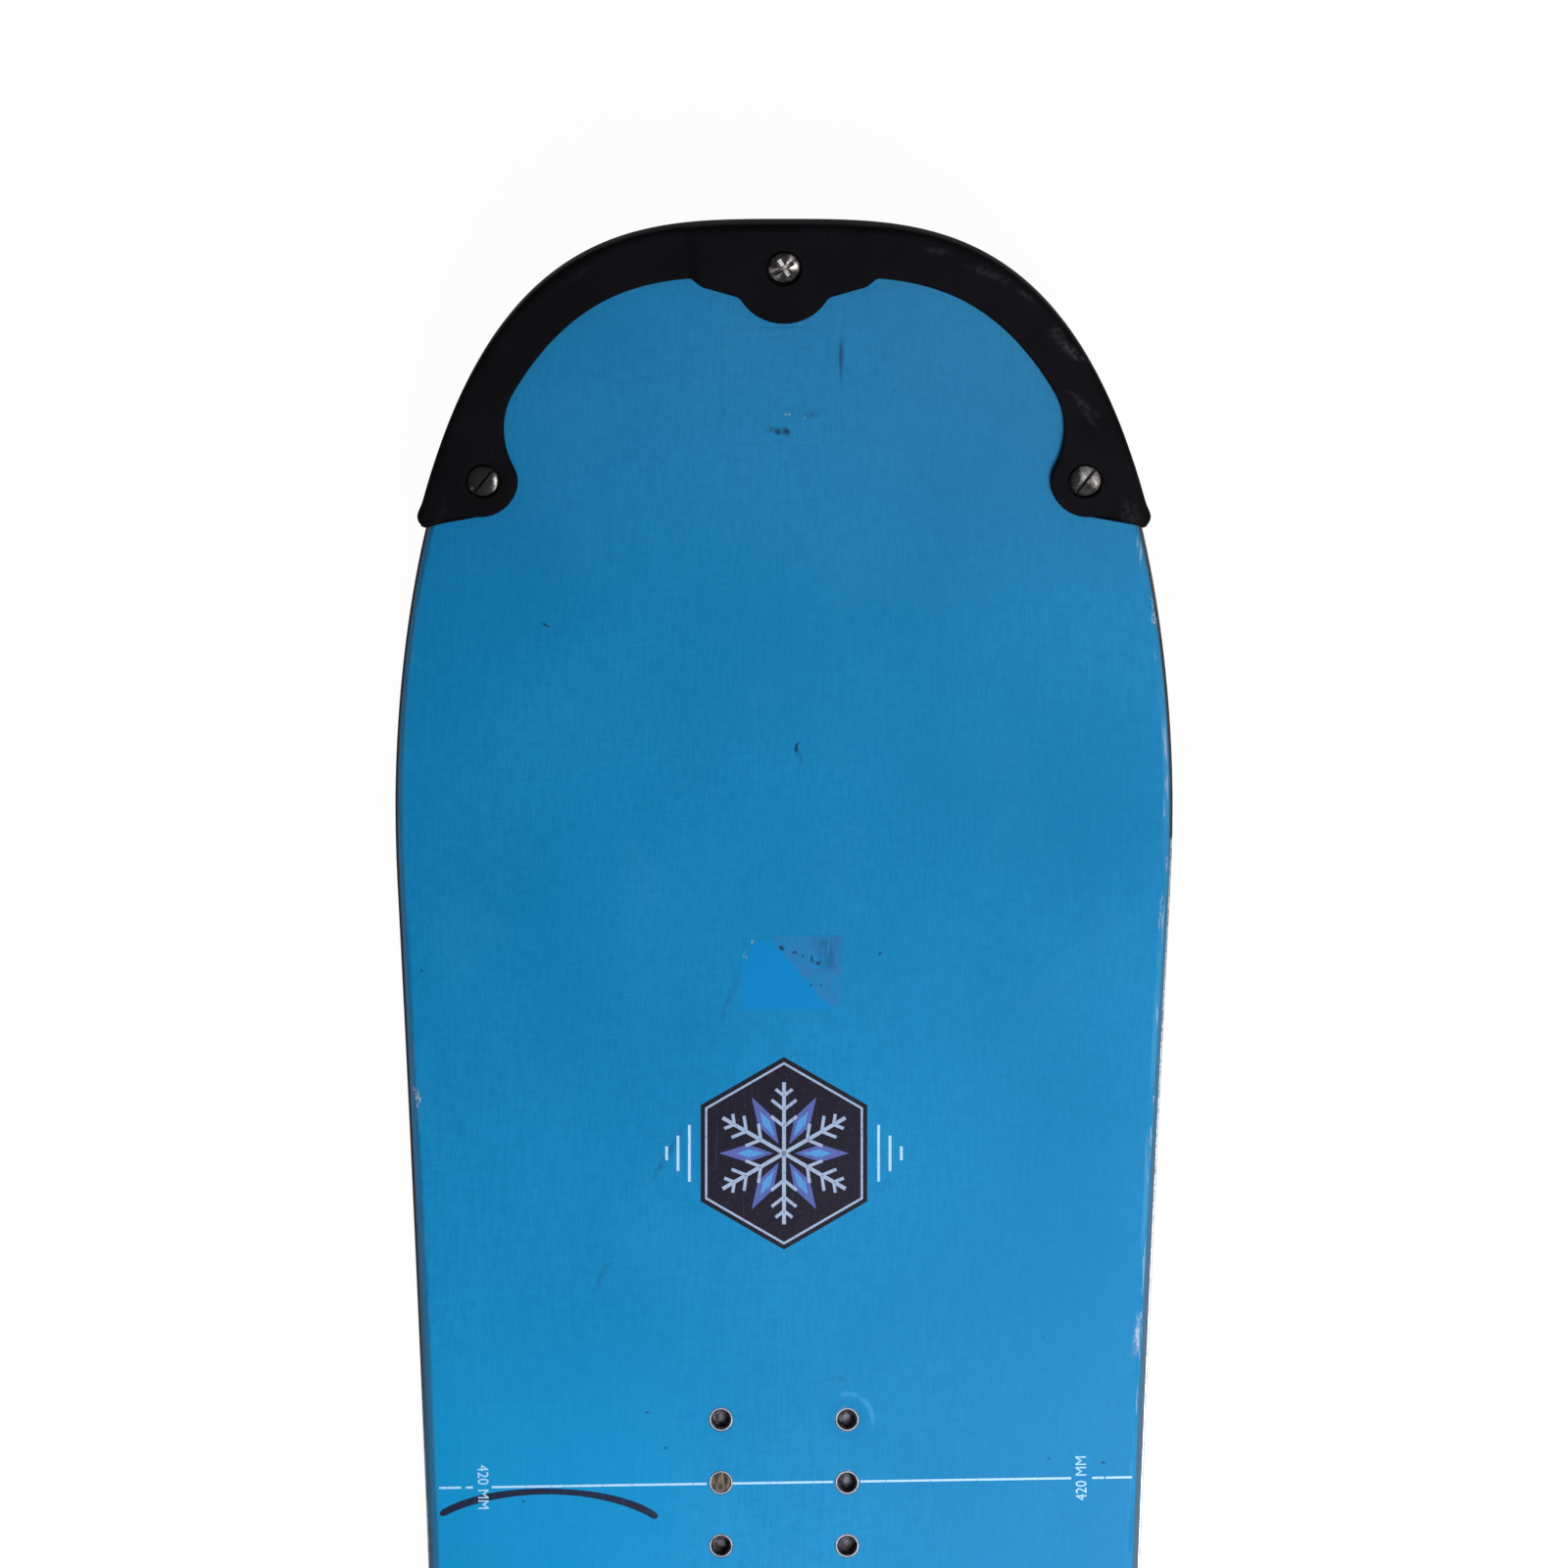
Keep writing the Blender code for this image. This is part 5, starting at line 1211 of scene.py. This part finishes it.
# Painted shade: the inside of the sleeve and the bottom of its slot are made darker.
NUT_INSIDE_SHADE, OVER_FACE, INSIDE_RIM = 0.8, 0.0005, 0.0047
for (tip, place), here in fasteners.items():
    name = f"{tip}_guard_nut_{place}"
    nut = make_piece(f"{name}_sleeve", turned(nut_profile, here), zinc, [name], sharp=35)
    drill(nut, [box_tool(*NUT_SLOT, here @ Matrix.Rotation(NUT_SLOT_TURN, 4, "Z"))], sharp=35)
    lay_grime_and_shade(nut, here, lambda x, y, z: NUT_INSIDE_SHADE * ((z > OVER_FACE) & (np.hypot(x, y) < INSIDE_RIM)))
print("sleeve nuts:", len(fasteners))

# %% [markdown]
# ## Threaded inserts
# Each insert is a flanged steel barrel with an M6 thread. The thread is a real helix: the bore's radius
# goes in and out with height / pitch minus turn / 360 degrees, so the ridge climbs by one pitch in each
# turn. Under the mouth is a small chamfer, which catches the light as a ring.

# %% Inserts with a helical thread
THREAD_PITCH, THREAD_ROOT, THREAD_CREST, BORE_FLOOR = 0.001, 0.0029, 0.0025, 0.0028
MOUTH, MOUTH_DEPTH, FADE, THREAD_ROWS = 0.0032, 0.0009, 0.0006, 42


def insert_shape(place, segments=48):
    """Grid round the axis: the outside and the countersunk mouth are turned, and the bore's radius is
    crest plus a triangle wave of (height / pitch - angle / 360), fading out below the mouth."""
    angle = np.linspace(0, 2 * np.pi, segments + 1)[:, None]
    top, barrel = INSERT_TOP, INSERT_RADIUS
    outside = [(0, 0.0022), (0.0079, 0.0022), (0.008, 0.0024), (0.008, 0.0032), (barrel, 0.0032), (barrel, 0.0075),
               (0.00371, top - 0.0001), (0.00362, top), (0.00336, top), (0.00326, top - 0.00004),
               (MOUTH, top - 0.00014)]
    cone = [(0.0024, BORE_FLOOR + 0.0001), (0.0008, BORE_FLOOR - 0.0002), (0, BORE_FLOOR - 0.0002)]
    (out_radius, out_level), (cone_radius, cone_level) = np.array(outside).T, np.array(cone).T
    height = np.linspace(top - MOUTH_DEPTH, BORE_FLOOR + 0.0002, THREAD_ROWS)
    wave = np.abs((height / THREAD_PITCH - angle / (2 * np.pi)) % 1 - 0.5) * 2
    fade = np.clip((top - MOUTH_DEPTH - height) / FADE, 0, 1)
    bore_radius = THREAD_ROOT + 0.00005 + (THREAD_CREST - THREAD_ROOT) * wave * fade
    radius = np.concatenate([out_radius + 0 * angle, bore_radius, cone_radius + 0 * angle], axis=1)
    level = np.concatenate([out_level, height, cone_level])
    return loft(moved(around(radius, angle, level), place), closed=False)


def bore_oil_and_shade(finish):
    """Oily dirt and painted shade from just under the rim downwards, with less at the floor, where a reflection is
    painted.
    """
    height = finish.split(finish.place)[2]
    oily = 0.8 + finish.noise(500).ramp(0.4, 0.6) * 0.2
    floor_reflection = height.ramp(BORE_FLOOR - 0.0001, BORE_FLOOR - 0.0002) * 0.24
    return height.ramp(INSERT_TOP - 0.00014, INSERT_TOP - 0.0006) * (oily - floor_reflection)


# The bore is painted dark: oil and painted shade, with a painted reflection at its floor.
oil_and_shade = (25, 20, 30)
insert_metal = plated("insert_steel_plated", (166, 168, 180), (124, 124, 134), oil_and_shade, bore_oil_and_shade, 0.45, 0.36)
for name, (x, u) in insert_places.items():
    make_piece(f"{name}_barrel", insert_shape(bent_frame(x, u)), insert_metal, [name], sharp=50)
print("inserts:", len(insert_places))

# %% [markdown]
# One insert of the front foot is blocked with packed dirt. The plug is a small uneven dome: a disc whose
# height falls off to its rim and is roughened by a few sines.

# %% Dirt in one insert
PLUG_RADIUS, PLUG_FLOOR, PLUG_RIM, PLUG_CROWN, PLUG_LUMPS = 0.003, 0.007, 0.0073, 0.0002, 0.00012
plug_at = insert_places["front_insert_3"]
angle, share = np.meshgrid(np.linspace(0, 2 * np.pi, 41), np.linspace(0, 1, 14), indexing="ij")
uneven = PLUG_LUMPS * np.sin(15 * share * np.cos(angle) + 1) * np.cos(12 * share * np.sin(angle))
level = PLUG_RIM + PLUG_CROWN * (1 - share**2) + uneven * (1 - share**4)
dirt_top = around(PLUG_RADIUS * share, angle, level) + (*plug_at, 0)
dirt_low = dirt_top * (1, 1, 0) + (0, 0, PLUG_FLOOR)
soil = Finish("packed_soil", (96, 84, 72), 0.85)
crumbs = soil.noise((1500, 320, 900), 4)
soil.tint(soil.mix((36, 31, 30), (116, 104, 90), crumbs.ramp(0.38, 0.66)))
soil.put("Normal", soil.bump(crumbs, 0.00025))
plug = np.concatenate([dirt_top, dirt_low[:, ::-1]], axis=1)
make_piece("insert_soil", loft(plug, closed=False), soil, sharp=60)
print("dirt plug at", plug_at)

# %% [markdown]
# ## Finishes for the layers inside
# The inner layers keep their CAD meshes and get finishes of their own: long grain for the planks, close
# strips of bamboo for the rails, crossed rovings for the glass, and grained plastic and rubber.
# Wood grain is noise stretched along the plank and folded into rings by a sine.

# %% Wood and bamboo
def wood(name, pale, dark, rings):
    made = Finish(name, pale, 0.6, specular=0.3)
    figure = made.noise((90, 3.5, 60), 3)
    folded = figure * rings
    ring = folded.math("SINE", folded) * 0.5 + 0.5
    pores = made.noise((2200, 40, 1500), 2).ramp(0.58, 0.7)
    made.tint(dark, ring * 0.6 + pores * 0.35)
    made.put("Roughness", 0.52 + ring * 0.12)
    made.put("Normal", made.bump(pores, -0.00006))
    return made


poplar = wood("poplar_grain", (214, 184, 136), (178, 142, 96), 46)
beech = wood("beech_grain", (190, 142, 98), (148, 100, 64), 60)
bamboo = wood("bamboo_strips", (218, 188, 118), (182, 146, 84), 90)
print("woods ready")

# %% Glass, plastic and rubber
def woven_glass():
    """Rovings at 45 degrees both ways: each is a soft wave across its own direction."""
    made = Finish("glass_roving", (196, 205, 178), 0.42, specular=0.5)
    ways = []
    for turn in (math.pi / 4, -math.pi / 4):
        inputs = {"Vector": made.stretched((1, 1, 1), turn), "Scale": 160, "Distortion": 0.6, "Detail": 1}
        ways.append(made.add("ShaderNodeTexWave", {"wave_profile": "SIN"}, inputs, 1) * 0.5)
    thread = ways[0] + ways[1]
    made.tint(made.mix((166, 176, 146), (214, 222, 198), thread))
    made.put("Roughness", 0.34 + thread * 0.14)
    made.put("Normal", made.bump(thread, 0.0001))
    return made


def grained(name, dark, light, rough):
    """Moulded plastic or rubber: two close blacks in a fine grain."""
    made = Finish(name, dark, rough, specular=0.35)
    pattern = made.noise(1400, 3)
    made.tint(light, pattern.ramp(0.4, 0.7))
    made.put("Roughness", rough + pattern * 0.1)
    made.put("Normal", made.bump(pattern, 0.00008))
    return made


glass = woven_glass()
spacer = grained("spacer_plastic_grained", (34, 34, 38), (52, 52, 56), 0.5)
bond = grained("bond_rubber_grained", (26, 26, 26), (40, 40, 40), 0.8)
print("glass, spacer and rubber ready")

# %% Dress the CAD nodes that stay
INSIDE = {f"core_stringer_{plank}": poplar if plank % 2 else beech for plank in range(1, 10)}
INSIDE |= {"edge_rail_": bamboo, "edge_rubber_": bond, "nose_spacer": spacer, "tail_spacer": spacer,
           "upper_glass": glass, "lower_glass": glass}
dressed = 0
for name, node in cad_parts.items():
    for start, finish in INSIDE.items():
        if name.startswith(start):
            node.data.materials.clear()
            node.data.materials.append(finish.material)
            dressed += 1
print("CAD nodes with a new finish:", dressed)

# %% [markdown]
# ## Floor, light and camera
# The board lies on a plain white floor. The floor glows a little for the camera, so that it looks white
# without more light on the board, and still takes the board's shadow. One soft lamp stands to the right
# of the feet, so that the blue grows brighter towards them, and the world fills the shadows.

# %% White floor
HALF_FLOOR, FLOOR_LEVEL, GLOW_SHARE = 9, -0.0002, 0.97
corners = np.array([(-1, -1, 0), (1, -1, 0), (1, 1, 0), (-1, 1, 0)]) * HALF_FLOOR + (0, 0, FLOOR_LEVEL)
ground = new_mesh("floor", corners, [(0, 1, 2, 3)])
stand("floor", ground)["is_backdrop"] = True
paint = Finish("floor_white", (0.9, 0.9, 0.9, 1), 0.9, specular=0.1)
rays = paint.add("ShaderNodeLightPath", output="Is Camera Ray")
seen_rays = [Wire(paint, rays.socket.node.outputs[name]) for name in ("Is Glossy Ray", "Is Transmission Ray")]
shown = rays.most(seen_rays[0]).most(seen_rays[1]) * GLOW_SHARE
glow = paint.add("ShaderNodeEmission", {}, {"Color": (1, 1, 1, 1), "Strength": 1})
mixed = paint.add("ShaderNodeMixShader", {}, [shown, Wire(paint, paint.shader.outputs[0]), glow])
paint.join(mixed, paint.tree.nodes["Material Output"].inputs["Surface"])
ground.materials.append(paint.material)
print("floor is %d m across" % (2 * HALF_FLOOR))

# %% Lamp and world
LAMP_PLACE, LAMP_TARGET, LAMP_SIZE, LAMP_LEVEL = (0.25, 0.04, 0.6), (0, 0.2, 0), 0.36, 1.1
WORLD_COLOUR, WORLD_LEVEL = (0.94, 0.97, 1, 1), 0.2
lamp = bpy.data.lights.new("foot_lamp", "AREA")
lamp.shape, lamp.size = "SQUARE", LAMP_SIZE
beam = np.subtract(LAMP_TARGET, LAMP_PLACE)
distance = float(np.linalg.norm(beam))
# A white surface at the target gets this level from the lamp: level pi^2 d^2 over the beam's cosine.
lamp.energy = LAMP_LEVEL * math.pi**2 * distance**2 / (-beam[2] / distance)
aim = Vector(beam.tolist()).to_track_quat("-Z", "Y").to_matrix().to_4x4()
stand("foot_lamp", lamp).matrix_world = Matrix.Translation(LAMP_PLACE) @ aim
world = bpy.data.worlds.new("studio")
bpy.context.scene.world = world
world.use_nodes = True
for socket, value in (("Color", WORLD_COLOUR), ("Strength", WORLD_LEVEL)):
    world.node_tree.nodes["Background"].inputs[socket].default_value = value
print("one soft lamp of %.1f W and an even world" % lamp.energy)

# %% [markdown]
# The camera looks straight down at the front half, as in the photograph: the nose is whole, and the board
# leaves the frame at the bottom, under the front foot.

# %% Camera
CAMERA_HEIGHT, CAMERA_Y, LENS, SENSOR = 1.5, 0.4314, 108.1, 36
view = bpy.data.cameras.new("camera")
view.sensor_width, view.lens = SENSOR, LENS
view.clip_start, view.clip_end = 0.05, 30
camera = stand("camera", view)
camera.matrix_world = Matrix.Translation((0, CAMERA_Y, CAMERA_HEIGHT))
bpy.context.scene.camera = camera
bpy.context.scene.view_settings.view_transform = "Standard"
print("camera %.2f m above the nose half" % CAMERA_HEIGHT)

visual_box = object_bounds()
for label, box in (("cad", cad_box), ("visual", visual_box)):
    print(label, [round(1000 * c, 2) for corner in box for c in corner])
